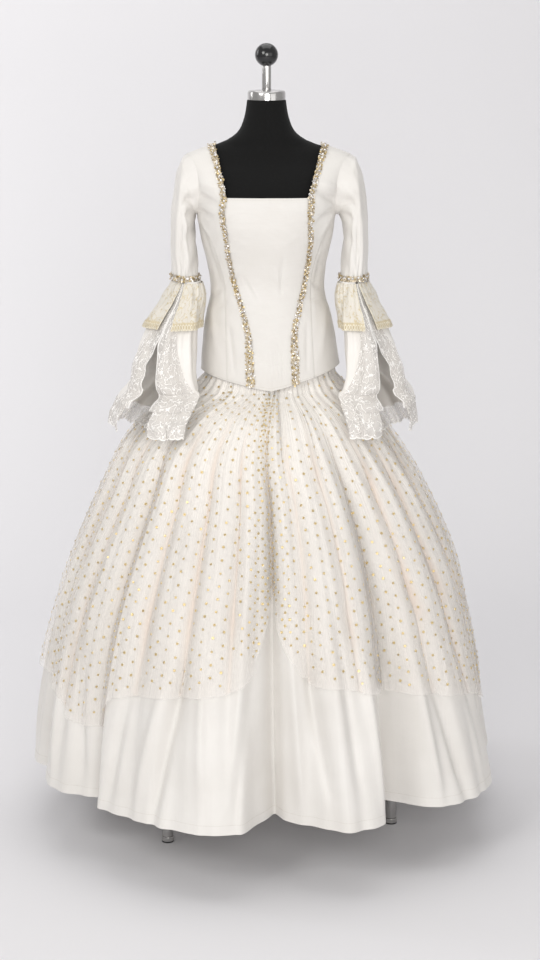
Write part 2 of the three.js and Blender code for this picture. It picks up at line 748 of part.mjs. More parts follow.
function waistband() {
  const heights = [SKIRT_TOP, SKIRT_TOP + 28];
  const angles = Array.from({ length: 28 }, (_, i) => (i * 360) / 28);
  const ring = (out) =>
    drifted(heights.map((z) => angles.map((angle) => onSection(BODICE, angle, z, out))));
  add("waistband", wallBetween(ring(-4.6), ring(-4.6 - CLOTH.band), true), "satin");
}

// ---------------------------------------------------------------- sleeves
/** The armhole's edge on the +X side, from the shoulder forwards and round. */
function armholeLoop() {
  const edge = (face) => {
    const grid = sidePanelGrid(face);
    const first = BODICE_ROWS.length;
    return grid.slice(first).map((row) => (face === "front" ? row[row.length - 1] : row[0]));
  };
  const front = edge("front").reverse(); // shoulder down to the chest
  const under = underarmGrid();
  const foot = under[under.length - 1].slice(1, -1);
  const back = edge("back"); // chest up to the shoulder
  return [...front, ...foot, ...back.slice(0, -1)];
}

const LOOP = armholeLoop();
const STRAPS = STRAP_ROWS.length; // columns on each side of the shoulder point

/** The angle of each sleeve column round its ring: 0 outermost, 90 in front. */
const SLEEVE_ANGLES = LOOP.map((_, i) => {
  const foot = 150;
  if (i <= STRAPS) return (foot * i) / STRAPS;
  const under = i - STRAPS;
  if (under <= UNDERARM_COLUMNS) return foot + ((360 - 2 * foot) * under) / UNDERARM_COLUMNS;
  return 360 - foot + (foot * (under - UNDERARM_COLUMNS)) / STRAPS;
});

function sleeveRing(ring, angle) {
  const share = (Math.cos(radians(angle)) + 1) / 2;
  return point(
    mix(ring.inner[0], ring.outer[0], share),
    ring.y - ring.depth * Math.sin(radians(angle)),
    mix(ring.inner[1], ring.outer[1], share),
  );
}

/** The sleeve on one arm, from the armhole down, as it hangs on that arm. */
function sleeveGrid(arm) {
  const armhole = LOOP.map((p) => point(p.x + SEAM + 0.5, p.y, p.z));
  const rings = SLEEVE.map((ring) => SLEEVE_ANGLES.map((angle) => sleeveRing(ring, angle)));
  const carried = rings.map((row, j) => {
    const carry = arm.sleeve * Math.min((j + 1) / 4, 1);
    return row.map((p) => point(p.x + carry, p.y, p.z));
  });
  return [armhole, ...carried].reverse();
}

/** How far the body, with its net skirt, reaches out on an arm's side of the gown. */
function bodyReach(arm, angle, z) {
  const sideways = arm.side * Math.sin(radians(angle));
  const side = onSection(BODICE, angle, Math.max(z, 1020));
  const bodice = Math.hypot(side.x, side.y) + read(DRIFT, "z", z).x * sideways;
  const skirt = bell(angle, z) + NET_LIFT + CLOTH.net + read(SKIRT, "z", z).shift * sideways;
  if (z > 1045) return bodice;
  return z > 1010 ? Math.max(skirt, bodice) : skirt;
}

/** A point of the flounce at a height and an angle round its ring, moved out from it. */
function onFlounce(arm, turn, z, out = 0) {
  const ring = read(FLOUNCE, "z", z);
  const around = radians(turn);
  const ripple = ring.wave * Math.cos((around - radians(52)) * FLOUNCE_RIPPLES);
  const grow = ripple + out;
  const wide = 1 + (arm.spread - 1) * THREE.MathUtils.clamp((1239.6 - z) / 100, 0, 1);
  const half = (ring.thick * wide) / 2;
  const reach = ring.off + half + (half + grow) * Math.cos(around);
  const length = (ring.length + (grow / 200) * (180 / Math.PI)) * Math.sin(around);
  const angle = ring.angle - length;
  const carry = mix(arm.flounce, arm.sleeve, THREE.MathUtils.clamp((z - 1089) / 150, 0, 1));
  const radius = bodyReach(arm, angle, z) + Math.max(reach, CLEAR);
  return point(radius * Math.sin(radians(angle)) + carry, -radius * Math.cos(radians(angle)), z);
}

/** A grid over the flounce, open at its split. Its columns run towards the front. */
function flounceGrid(arm, columns, heights, gap, outAt = () => 0) {
  return heights.map((z) => {
    const split = read(SPLIT, "z", z);
    return columns.map((share) => {
      const turn = split.angle - mix(split[gap], 360 - split[gap], share);
      return onFlounce(arm, turn, z, outAt(z));
    });
  });
}

/** Brings a grid of the +X arm to the arm it hangs on, its faces outwards. */
function toArm(grid, arm) {
  const side = arm.side > 0 ? grid : mirrored(grid);
  return side.map((row) => drifted([row])[0].map((p, i) => (row[i].z > CHEST ? p : row[i])));
}

/** A wall built inwards from a grid on an arm. */
function armWall(grid, thickness, closed, arm) {
  const outer = toArm(grid, arm);
  return wallBetween(outer, moved(outer, gridNormals(outer, closed), -thickness), closed);
}

/** Points on the facets of a grid, between its rows, at one height of each column. */
function onGrid(grid, column, z) {
  let j = 0;
  while (j < grid.length - 2 && z > grid[j + 1][column].z) j += 1;
  const low = grid[j][column];
  const high = grid[j + 1][column];
  return low.clone().lerp(high, (z - low.z) / (high.z - low.z));
}

/** The lace along the hem, a distance out from the satin, and falling below its edge. */
function laceHem(arm, satin, out) {
  const laid = moved(satin, gridNormals(satin, false), out);
  const split = read(SPLIT, "z", FLOUNCE_ROWS[0]);
  const below = [1, 0.5].map((share) =>
    FLOUNCE_COLUMNS.map((column, i) => {
      const z = FLOUNCE_ROWS[0] - LACE.drop * share - (share === 1 && i % 2 ? LACE.scallop : 0);
      const turn = split.angle - mix(split.flounce, 360 - split.flounce, column);
      return onFlounce(arm, turn, z, out + 1.5 * share);
    }),
  );
  return [...below, laid[0], laid[1]];
}

/** The gathered lace down one edge of the split: frilled, and spilling over the edge. */
function laceCascade(arm, satin, edge, out) {
  const last = FLOUNCE_COLUMNS.length - 1;
  const columns = edge === "outer" ? [0, 1, 2] : [last, last - 1, last - 2];
  const across = gridNormals(satin, false).map((row, j) =>
    row.map((normal, i) => point(normal.x, normal.y, 0).normalize().setZ(satin[j][i].z)),
  );
  const rows = Array.from({ length: LACE.rows + 1 }, (_, j) => {
    const up = j / LACE.rows;
    const z = mix(LACE.bottom, LACE.top, up);
    const free = 1 - THREE.MathUtils.smoothstep(z, 1120, 1150);
    const wave = 0.5 - 0.5 * Math.cos(2 * Math.PI * LACE.frills * up);
    const frill = wave * mix(1.5, LACE.frill, free);
    const band = columns.map((column, k) => {
      const lift = out + frill * LACE.fall[k];
      const normal = onGrid(across, column, z).setZ(0).normalize();
      return onGrid(satin, column, z).addScaledVector(normal, lift);
    });
    const split = read(SPLIT, "z", z);
    const spill = LACE.spill * mix(0.5, 1.3, free);
    const turn = edge === "outer" ? spill - split.flounce : split.flounce - spill;
    return [onFlounce(arm, split.angle + turn, z, out + frill + 0.3), ...band];
  });
  return edge === "outer" ? rows : rows.map((row) => row.reverse());
}

/** The sequin trim round the elbow, on the sleeve's own last rings. */
function elbowTrim(sleeve) {
  const [low, high] = sleeve;
  const rows = [ELBOW_TRIM.from, (ELBOW_TRIM.from + ELBOW_TRIM.to) / 2, ELBOW_TRIM.to];
  const laid = rows.map((share) => low.map((p, i) => p.clone().lerp(high[i], share)));
  return moved(laid, gridNormals(laid, true), LAY + CLOTH.trim);
}

function sleeves() {
  for (const arm of ARMS) {
    const piece = (name, grid, thickness, closed, finish) =>
      add(`${name}_${arm.suffix}`, armWall(grid, thickness, closed, arm), finish);
    const cuffColumns = even(CUFF.columns);
    const cuffHeights = CUFF.rows.map((row) => row.z);
    const cuffOut = (z) => read(CUFF.rows, "z", z).out + CLOTH.brocade;
    const sleeve = sleeveGrid(arm).map((row) => [...row].reverse());
    const satin = flounceGrid(arm, FLOUNCE_COLUMNS, FLOUNCE_ROWS, "flounce");
    piece("sleeve", sleeve, CLOTH.satin, true, "satin");
    piece("flounce", satin, CLOTH.satin, false, "satin");
    const lace = (name, lay, gridAt) => {
      const [outer, inner] = [lay + CLOTH.lace, lay].map((out) => toArm(gridAt(out), arm));
      add(`flounce_lace_${name}_${arm.suffix}`, wallBetween(outer, inner), "lace");
    };
    lace("hem", LACE.lay.hem, (out) => laceHem(arm, satin, out));
    lace("front", LACE.lay.edges, (out) => laceCascade(arm, satin, "front", out));
    lace("outer", LACE.lay.edges, (out) => laceCascade(arm, satin, "outer", out));
    const cuff = flounceGrid(arm, cuffColumns, cuffHeights, "cuff", cuffOut);
    piece("cuff", cuff, CLOTH.brocade, false, "brocade");
    piece("elbow_trim", elbowTrim(sleeve), CLOTH.trim, true, "sequin_trim");
  }
}

// ---------------------------------------------------------------- form and stand
function dressForm() {
  const angles = Array.from({ length: 24 }, (_, i) => i * 15);
  const positions = FORM.flatMap((row) =>
    angles.flatMap((angle) => onSection(FORM, angle, row.z).toArray()),
  );
  const count = angles.length;
  const faces = [];
  for (let j = 0; j < FORM.length - 1; j += 1)
    for (let i = 0; i < count; i += 1) {
      const [a, b] = [j * count + i, j * count + ((i + 1) % count)];
      faces.push(a, b, b + count, a, b + count, a + count);
    }
  const last = (FORM.length - 1) * count;
  for (let i = 1; i < count - 1; i += 1) {
    faces.push(0, i + 1, i);
    faces.push(last, last + i, last + i + 1);
  }
  const geometry = new THREE.BufferGeometry();
  geometry.setAttribute("position", new THREE.Float32BufferAttribute(positions, 3));
  geometry.setIndex(faces);
  add("dress_form", geometry, "form_cover");
}

/** A solid of revolution about the stand's axis, from [radius, height] pairs. */
function turned(name, profile, finish, sides = 24) {
  const geometry = new THREE.LatheGeometry(
    profile.map(([radius, z]) => new THREE.Vector2(radius, z)),
    sides,
  ).rotateX(Math.PI / 2);
  return add(name, geometry, finish);
}

/** A plain round bar about the stand's axis. */
const bar = (name, radius, low, high, sides) =>
  turned(name, [[0, low], [radius, low], [radius, high], [0, high]], "chrome", sides);

function stand() {
  const { hub, cap, rod, ball, tip } = STAND;
  bar("stand_hub", hub.radius, hub.bottom, hub.top, 24);
  bar("stand_pole", STAND.pole, hub.top + SEAM, STAND.formBottom - SEAM, 16);

  const capTop = cap.bottom + cap.height;
  const round = 5;
  turned(
    "neck_cap",
    [
      [0, cap.bottom],
      [cap.radius, cap.bottom],
      [cap.radius, capTop - round],
      [cap.radius - 0.3 * round, capTop - 0.3 * round],
      [cap.radius - round, capTop],
      [0, capTop],
    ],
    "chrome",
  );
  bar("neck_rod", rod.radius, capTop + SEAM, rod.top, 16);

  // The ball has a flat seat on the rod.
  const seat = Math.acos((ball.centre - rod.top - SEAM) / ball.radius);
  const arc = Array.from({ length: 9 }, (_, i) => {
    const turn = mix(Math.PI - seat, 0, i / 8);
    return [ball.radius * Math.sin(turn), ball.centre + ball.radius * Math.cos(turn)];
  });
  turned("ball_finial", [[0, rod.top + SEAM], ...arc.slice(0, -1), [0, arc[8][1]]], "black_plastic", 18);

  STAND.footAngles.forEach((angle, i) => {
    const leg = new THREE.CurvePath();
    const start = hub.radius + SEAM;
    const bendStart = STAND.footCircle - STAND.bend;
    const at = (radius, z) => point(radius, 0, z);
    leg.add(new THREE.LineCurve3(at(start, STAND.arm), at(bendStart, STAND.arm)));
    leg.add(
      new THREE.QuadraticBezierCurve3(
        at(bendStart, STAND.arm),
        at(STAND.footCircle, STAND.arm),
        at(STAND.footCircle, STAND.arm - STAND.bend),
      ),
    );
    leg.add(
      new THREE.LineCurve3(
        at(STAND.footCircle, STAND.arm - STAND.bend),
        at(STAND.footCircle, tip.height + SEAM),
      ),
    );
    const section = new THREE.Shape().absarc(0, 0, STAND.tube, 0, 2 * Math.PI);
    const tube = new THREE.ExtrudeGeometry(section, {
      steps: 13,
      curveSegments: 5,
      extrudePath: leg,
    });
    const turn = radians(angle - 90);
    const legMesh = add(`stand_leg_${i + 1}`, tube, "chrome");
    legMesh.rotation.z = turn;
    const foot = turned(
      `foot_tip_${i + 1}`,
      [[0, 0], [tip.radius - 1, 0], [tip.radius, 1], [tip.radius, tip.height], [0, tip.height]],
      "rubber",
      16,
    );
    foot.position.set(
      STAND.footCircle * Math.cos(turn),
      STAND.footCircle * Math.sin(turn),
      0,
    );
  });
}

bodice();
bodiceTrim();
waistband();
underskirt();
overskirt();
sleeves();
dressForm();
stand();

export default gown;
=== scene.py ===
"""A rococo gown on a limbless dress form and its stand: cloth, trims, lace and metal.

Sizes are written in millimetres and become metres in the meshes. +Z is up, the gown
faces -Y and its left arm is on +X. Angles run round the body in degrees, from 0 at
centre front over 90 at +X to 180 at centre back.
"""

from __future__ import annotations

import logging
import math
from dataclasses import dataclass, field
from enum import Enum
from functools import partial
from typing import Any, Callable, Sequence

import bpy
import numpy as np
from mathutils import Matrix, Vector

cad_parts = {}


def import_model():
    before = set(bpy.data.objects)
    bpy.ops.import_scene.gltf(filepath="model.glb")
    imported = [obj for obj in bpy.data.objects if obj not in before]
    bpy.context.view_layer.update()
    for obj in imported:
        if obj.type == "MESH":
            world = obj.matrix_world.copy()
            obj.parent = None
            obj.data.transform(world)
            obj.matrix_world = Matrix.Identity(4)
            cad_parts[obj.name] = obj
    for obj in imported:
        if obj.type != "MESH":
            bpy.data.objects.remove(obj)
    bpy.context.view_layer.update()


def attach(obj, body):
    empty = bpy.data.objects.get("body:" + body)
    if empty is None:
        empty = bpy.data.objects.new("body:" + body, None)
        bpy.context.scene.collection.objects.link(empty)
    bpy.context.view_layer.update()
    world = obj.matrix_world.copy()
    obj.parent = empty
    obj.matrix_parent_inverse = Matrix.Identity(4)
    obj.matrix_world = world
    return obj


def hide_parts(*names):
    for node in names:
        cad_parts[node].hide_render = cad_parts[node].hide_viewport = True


LOG = logging.getLogger("gown")
MM = 0.001
Grid = np.ndarray  # rows, columns, xyz
Numbers = np.ndarray
Mesh = bpy.types.Mesh
Material = bpy.types.Material

SKIRT_TOP = 1195.0
HEM = 146.0
CHEST = 1385.0


class Face(Enum):
    """The two faces of the bodice."""

    FRONT = "front"
    BACK = "back"


class Slot(Enum):
    """The names of the material slots."""

    SATIN = "satin"
    RIBBED = "ribbed_satin"
    NET = "dotted_net"
    LACE = "lace"
    BROCADE = "brocade"
    TRIM = "sequin_trim"
    COVER = "form_cover"
    CHROME = "chrome"
    PLASTIC = "black_plastic"
    RUBBER = "rubber"


# ---- tables
@dataclass(frozen=True)
class Table:
    """Rows of named numbers, read along the first column."""

    columns: tuple[str, ...]
    rows: tuple[tuple[float, ...], ...]

    def _pair(self, name: str) -> tuple[Numbers, Numbers]:
        """The keys in rising order, with one column beside them."""
        made = np.array(self.rows, dtype=float)
        made = made[np.argsort(made[:, 0])]
        return made[:, 0], made[:, self.columns.index(name)]

    def line(self, name: str, at: Any) -> Numbers:
        """Reads a column with straight lines between the rows."""
        keys, values = self._pair(name)
        return np.interp(at, keys, values)

    def curve(self, name: str, at: Any) -> Numbers:
        """Reads a column along a smooth curve that never passes its rows.

        Args:
            name: the column.
            at: values of the first column.

        Returns:
            The column's values there.
        """
        keys, values = self._pair(name)
        at = np.clip(np.asarray(at, dtype=float), keys[0], keys[-1])
        step = np.diff(keys)
        slope = np.diff(values) / step
        tangent = np.concatenate([slope[:1], np.zeros(len(keys) - 2), slope[-1:]])
        with np.errstate(divide="ignore", invalid="ignore"):
            mean = 2 * slope[:-1] * slope[1:] / (slope[:-1] + slope[1:])
        tangent[1:-1] = np.where(slope[:-1] * slope[1:] > 0, mean, 0)
        i = np.clip(np.searchsorted(keys, at, side="right") - 1, 0, len(keys) - 2)
        t = (at - keys[i]) / step[i]
        return (
            (1 + 2 * t) * (1 - t) ** 2 * values[i]
            + t * (1 - t) ** 2 * step[i] * tangent[i]
            + t * t * (3 - 2 * t) * values[i + 1]
            + t * t * (t - 1) * step[i] * tangent[i + 1]
        )


def up_by(count: int, low: float = 0.0, high: float = 1.0) -> Numbers:
    """Even steps from low to high, one for each row of a grid."""
    return np.linspace(low, high, count)[:, None]


def across_by(count: int) -> Numbers:
    """Even steps from 0 to 1, one for each column of a grid."""
    return np.linspace(0, 1, count)[None, :]


def around(count: int) -> Numbers:
    """The angle in degrees of each column of a closed grid."""
    return np.linspace(0, 360, count, endpoint=False)[None, :]


def smoothstep(low: float, high: float, at: Any) -> Numbers:
    """Rises from 0 at low to 1 at high, level at both ends."""
    t = np.clip((np.asarray(at, dtype=float) - low) / (high - low), 0, 1)
    return t * t * (3 - 2 * t)


def mix(a: Any, b: Any, share: Any) -> Any:
    """The value a share of the way from a to b."""
    return a + (b - a) * share


def wander(at: Any, seed: int, waves: int = 6, highest: float = 6.0) -> Numbers:
    """A smooth uneven signal between about -1 and 1, which repeats every 1.

    Args:
        at: where it is read.
        seed: fixes the waves.
        waves: how many sines it sums.
        highest: the greatest number of turns in one period.

    Returns:
        The signal's values.
    """
    rng = np.random.default_rng(seed)
    total = np.zeros_like(np.asarray(at, dtype=float))
    for _ in range(waves):
        turns = rng.integers(1, max(2, int(highest)) + 1)
        total = total + rng.uniform(0.4, 1) * np.sin(2 * np.pi * (turns * at + rng.random()))
    return total / (0.9 * waves**0.5 + 0.4)


@dataclass(frozen=True)
class Crease:
    """A soft trough or ridge on a cloth, from one point of it to another.

    The points are given in the cloth's own two coordinates. A positive height is a
    ridge and a negative one a trough.
    """

    start: tuple[float, float]
    end: tuple[float, float]
    height: float
    width: float

    def lift(self, across: Numbers, up: Numbers, narrow: float = 1.0) -> Numbers:
        """How far it moves each point of the cloth out; narrow makes it sharper."""
        start, end = np.array(self.start), np.array(self.end)
        run = end - start
        share = ((across - start[0]) * run[0] + (up - start[1]) * run[1]) / (run @ run)
        held = np.clip(share, 0, 1)
        off = np.hypot(across - start[0] - held * run[0], up - start[1] - held * run[1])
        taper = 0.25 + 0.75 * np.sin(np.pi * np.clip(0.08 + 0.84 * held, 0, 1))
        return self.height * taper * np.exp(-((off / self.width / narrow) ** 2))


def creases(*rows: tuple[float, ...]) -> tuple[Crease, ...]:
    """Creases from rows that hold the start, the end, the height and the width."""
    return tuple(Crease(row[:2], row[2:4], *row[4:]) for row in rows)


# ---- meshes
def normals(grid: Grid, closed: bool = False) -> Grid:
    """Outward unit normals of a grid, from the neighbours of each point."""
    if closed:
        across = np.roll(grid, -1, 1) - np.roll(grid, 1, 1)
    else:
        across = np.gradient(grid, axis=1)
    up = np.gradient(grid, axis=0)
    found = np.cross(across, up)
    return found / np.maximum(np.linalg.norm(found, axis=2, keepdims=True), 1e-9)


def lengths(grid: Grid, axis: int) -> Numbers:
    """Running length along the rows (axis 1) or the columns (axis 0), in metres."""
    step = np.linalg.norm(np.diff(grid, axis=axis), axis=2) * MM
    start = np.zeros_like(np.take(step, [0], axis=axis))
    return np.cumsum(np.concatenate([start, step], axis=axis), axis=axis)


def mirrored(grid: Grid) -> Grid:
    """The grid on the other side of the body, its faces still outwards."""
    return (grid * np.array([-1.0, 1.0, 1.0]))[:, ::-1]


def placed(name: str, data: Any) -> Any:
    """A new object in the scene."""
    made = bpy.data.objects.new(name, data)
    bpy.context.scene.collection.objects.link(made)
    return made


def link(name: str, mesh: Mesh, finish: Material, slot: Slot, *nodes: str) -> Any:
    """Puts a mesh in the scene as a piece that rides with the gown.

    Args:
        name: the piece's name.
        mesh: its mesh, in metres.
        finish: its material.
        slot: not used.
        nodes: the CAD nodes that it stands for.

    Returns:
        The new object.
    """
    piece = placed(name, mesh)
    if not mesh.materials:
        mesh.materials.append(finish)
    if nodes:
        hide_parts(*nodes)
    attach(piece, "root")
    LOG.info("%s: %d faces", name, len(mesh.polygons))
    return piece


def quads(rows: int, columns: int, closed: bool) -> Numbers:
    """The faces of a grid of points, as four indices each; closed joins its last column to the first."""
    j, i = np.meshgrid(np.arange(rows - 1), np.arange(columns if closed else columns - 1), indexing="ij")
    k = (i + 1) % columns
    low, high = j * columns, (j + 1) * columns
    return np.stack([low + i, low + k, high + k, high + i], -1).reshape(-1, 4)


def ring_mesh(name: str, points: Grid, sharp: float | None = None) -> Mesh:
    """A closed body from rings of points, with a flat cap at each end.

    Args:
        name: the mesh's name.
        points: its rings, from the bottom up.
        sharp: edges steeper than this stay sharp, in degrees; all do without it.

    Returns:
        The mesh.
    """
    rings, sides = points.shape[:2]
    last = (rings - 1) * sides
    caps = [list(range(sides - 1, -1, -1)), list(range(last, last + sides))]
    mesh = bpy.data.meshes.new(name)
    mesh.from_pydata(points.reshape(-1, 3).tolist(), [], quads(rings, sides, True).tolist() + caps)
    if sharp is not None:
        mesh.shade_smooth()
        mesh.set_sharp_from_angle(angle=math.radians(sharp))
    return mesh


def sheet_mesh(
    name: str,
    outer: Grid,
    thickness: float | Numbers,
    closed: bool = False,
    inner: Grid | None = None,
    signals: dict[str, Numbers] | None = None,
    sharp: float = 50.0,
) -> Mesh:
    """One closed thin shell from a grid of outer points.

    Args:
        name: the mesh's name.
        outer: the outer points in millimetres, bottom row first.
        thickness: the cloth's thickness, or one for each point.
        closed: whether the last column joins the first.
        inner: the inner points, where they aren't the outer ones moved in.
        signals: numbers for each point, kept as attributes for the finish.
        sharp: edges steeper than this stay sharp, in degrees.

    Returns:
        The mesh, with a UV map in metres along its rows and columns.
    """
    rows, columns = outer.shape[:2]
    if inner is None:
        wall = np.asarray(thickness, dtype=float)
        wall = wall[..., None] if wall.ndim else wall
        inner = outer - normals(outer, closed) * wall
    points = np.concatenate([outer.reshape(-1, 3), inner.reshape(-1, 3)]) * MM
    front, far, top = quads(rows, columns, closed), rows * columns, (rows - 1) * columns
    one = np.arange(columns if closed else columns - 1)
    two = (one + 1) % columns
    faces = [front, front[:, ::-1] + far]
    faces.append(np.stack([far + one, far + two, two, one], -1))
    faces.append(np.stack([top + one, top + two, far + top + two, far + top + one], -1))
    if not closed:
        low, high = np.arange(rows - 1) * columns, np.arange(1, rows) * columns
        faces.append(np.stack([far + low, low, high, far + high], -1))
        end = columns - 1
        faces.append(np.stack([low + end, far + low + end, far + high + end, high + end], -1))
    corners = np.concatenate(faces)
    mesh = bpy.data.meshes.new(name)
    mesh.vertices.add(len(points))
    mesh.vertices.foreach_set("co", points.ravel())
    mesh.loops.add(corners.size)
    mesh.loops.foreach_set("vertex_index", corners.ravel())
    mesh.polygons.add(len(corners))
    mesh.polygons.foreach_set("loop_start", np.arange(0, corners.size, 4))
    mesh.update(calc_edges=True)
    ring = np.concatenate([outer, outer[:, :1]], axis=1) if closed else outer
    u, v = lengths(ring, 1), lengths(ring, 0)
    share = np.linspace(0, 1, ring.shape[1])[None, :]
    u = np.broadcast_to(share * u[:, -1].max(), u.shape)
    flat = np.stack([u, v], -1)
    local = corners % far
    row, column = local // columns, local % columns
    wrap = (column == 0) & (np.abs(column - np.roll(column, 2, axis=1)) > 1)
    column = np.where(closed & wrap, columns, column)
    layer = mesh.uv_layers.new(name="cloth")
    layer.data.foreach_set("uv", flat[row, np.minimum(column, ring.shape[1] - 1)].ravel())
    for key, values in (signals or {}).items():
        kept = mesh.attributes.new(key, "FLOAT", "POINT")
        both = np.concatenate([np.asarray(values, dtype=float).ravel()] * 2)
        kept.data.foreach_set("value", both)
    mesh.shade_smooth()
    mesh.set_sharp_from_angle(angle=math.radians(sharp))
    return mesh


def lathe_mesh(name: str, profile: Sequence[tuple[float, float]], sides: int = 64, at: tuple = (0, 0)) -> Any:
    """A solid of revolution about an upright axis, closed on that axis.

    Args:
        name: the mesh's name.
        profile: radius and height pairs in millimetres, from the bottom up.
        sides: how many columns it has.
        at: the axis's x and y.

    Returns:
        The mesh.
    """
    turn = np.linspace(0, 2 * np.pi, sides, endpoint=False)
    points: list[tuple[float, float, float]] = [(at[0], at[1], profile[0][1])]
    body = [row for row in profile if row[0] > 0]
    for radius, z in body:
        points += [(at[0] + radius * math.sin(t), at[1] - radius * math.cos(t), z) for t in turn]
    points.append((at[0], at[1], profile[-1][1]))
    faces: list[tuple[int, ...]] = []
    for i in range(sides):
        k = (i + 1) % sides
        faces.append((0, 1 + k, 1 + i))
        for j in range(len(body) - 1):
            low, high = 1 + j * sides, 1 + (j + 1) * sides
            faces.append((low + i, low + k, high + k, high + i))
        last = 1 + (len(body) - 1) * sides
        faces.append((last + i, last + k, len(points) - 1))
    mesh = bpy.data.meshes.new(name)
    mesh.from_pydata([tuple(c * MM for c in p) for p in points], [], faces)
    mesh.shade_smooth()
    mesh.set_sharp_from_angle(angle=math.radians(35))
    return mesh


def rounded(radius: float, low: float, high: float, edge: float, steps: int = 4) -> list[tuple[float, float]]:
    """The profile of a round bar whose two rims are rounded."""
    made: list[tuple[float, float]] = [(0, low)]
    for centre, start in ((low + edge, -90), (high - edge, 0)):
        for i in range(steps + 1):
            a = math.radians(start + 90 * i / steps)
            made.append((radius - edge + edge * math.cos(a), centre + edge * math.sin(a)))
    return [*made, (0, high)]


def tube_mesh(name: str, path: Grid, facing: Grid, radius: float, sides: int) -> Mesh:
    """A round tube along a path, closed at both ends.

    Args:
        name: the mesh's name.
        path: points along its middle, in millimetres.
        facing: a direction across the path at each point.
        radius: its radius.
        sides: how many columns it has.

    Returns:
        The mesh.
    """
    ahead = np.gradient(path, axis=0)
    ahead /= np.linalg.norm(ahead, axis=1, keepdims=True)
    first = facing - ahead * np.sum(facing * ahead, axis=1, keepdims=True)
    first /= np.linalg.norm(first, axis=1, keepdims=True)
    second = np.cross(ahead, first)
    turn = np.linspace(0, 2 * np.pi, sides, endpoint=False)[None, :, None]
    points = path[:, None] + radius * (np.cos(turn) * first[:, None] + np.sin(turn) * second[:, None])
    return ring_mesh(name, points * MM, 50)


def spaced(path: Grid, facing: Grid, step: float, start: float = 0.5) -> tuple[Grid, Grid, Grid]:
    """Points at even steps along a path, with the ways out and on at each.

    Args:
        path: its points, in millimetres.
        facing: the way out at each of them.
        step: the distance between two points.
        start: the share of a step before the first.

    Returns:
        The points, the ways out and the ways on.
    """
    way = np.diff(path, axis=0)
    run = np.concatenate([[0.0], np.cumsum(np.linalg.norm(way, axis=1))])
    at = np.arange(start * step, run[-1], step)
    spots, out = (np.stack([np.interp(at, run, made[:, i]) for i in range(3)], -1) for made in (path, facing))
    return spots, out, way[np.clip(np.searchsorted(run, at) - 1, 0, len(way) - 1)]


def small_mesh(name: str, rings: Sequence[tuple[float, float]], sides: int) -> Mesh:
    """A small many-sided shape: rings of radius and height, closed below and above."""
    turn = np.linspace(0, 2 * np.pi, sides, endpoint=False)
    return ring_mesh(name, np.array([[(r * math.cos(a), r * math.sin(a), z) for a in turn] for r, z in rings]))


def stitch_mesh() -> Mesh:
    """One stitch, 2.3 mm long, in millimetres."""
    corners = ((-1, -1), (1, -1), (1, 1), (-1, 1))
    low, high = (1.15, 0.3, 0.0), (0.8, 0.16, 0.34)
    return ring_mesh("stitch", np.array([[(a * x, b * y, z) for a, b in corners] for x, y, z in (low, high)]))


def loop_mesh(long: float = 11.5, wide: float = 4.6, thick: float = 0.75) -> Mesh:
    """One flat loop of cord, in millimetres, its length along X."""
    turn = np.linspace(0, 2 * np.pi, 12, endpoint=False)
    points, faces = [], []
    for a in turn:
        for b in (0.5, 2.6, 4.7):
            reach = 1 + thick * math.cos(b) / (wide / 2)
            points.append((long / 2 * math.cos(a) * reach, wide / 2 * math.sin(a) * reach, 0.5 + thick * math.sin(b)))
    for i in range(12):
        for j in range(3):
            k, m = (i + 1) % 12, (j + 1) % 3
            faces.append((3 * i + j, 3 * k + j, 3 * k + m, 3 * i + m))
    mesh = bpy.data.meshes.new("loop")
    mesh.from_pydata(points, [], faces)
    return mesh


# ---- finishes
@dataclass(frozen=True)
class Wire:
    """An output socket on which shader maths is written with operators."""

    board: "Board"
    socket: Any

    def __add__(self, other: Any) -> "Wire":
        """The sum."""
        return self.board.math("ADD", self, other)

    def __sub__(self, other: Any) -> "Wire":
        """The difference."""
        return self.board.math("SUBTRACT", self, other)

    def __rsub__(self, other: Any) -> "Wire":
        """The difference, with the wire on the right."""
        return self.board.math("SUBTRACT", other, self)

    def __mul__(self, other: Any) -> "Wire":
        """The product."""
        return self.board.math("MULTIPLY", self, other)

    def sine(self) -> "Wire":
        """The sine."""
        return self.board.math("SINE", self)

    def top(self, other: Any) -> "Wire":
        """The greater of the two."""
        return self.board.math("MAXIMUM", self, other)

    __radd__ = __add__
    __rmul__ = __mul__


def add_node(tree: Any, kind: str, settings: dict[str, Any] | None = None, **sockets: Any) -> Any:
    """Adds a node to a tree, sets it up, and fills its sockets.

    Args:
        tree: the node tree.
        kind: the node's type.
        settings: its own properties.
        sockets: values, wires or output sockets by socket name, with _ for a space, or
            s0, s1 by their place.

    Returns:
        The node.
    """
    made = tree.nodes.new(kind)
    for key, value in (settings or {}).items():
        setattr(made, key, value)
    for key, value in sockets.items():
        number = key[1:].isdigit() and key[0] == "s"
        socket = made.inputs[int(key[1:]) if number else key.replace("_", " ")]
        value = value.socket if isinstance(value, Wire) else value
        if isinstance(value, bpy.types.NodeSocket):
            tree.links.new(value, socket)
        elif hasattr(socket, "default_value"):
            many = hasattr(socket.default_value, "__len__") and not isinstance(value, str)
            socket.default_value = (*value, 1)[: len(socket.default_value)] if many else value
    return made


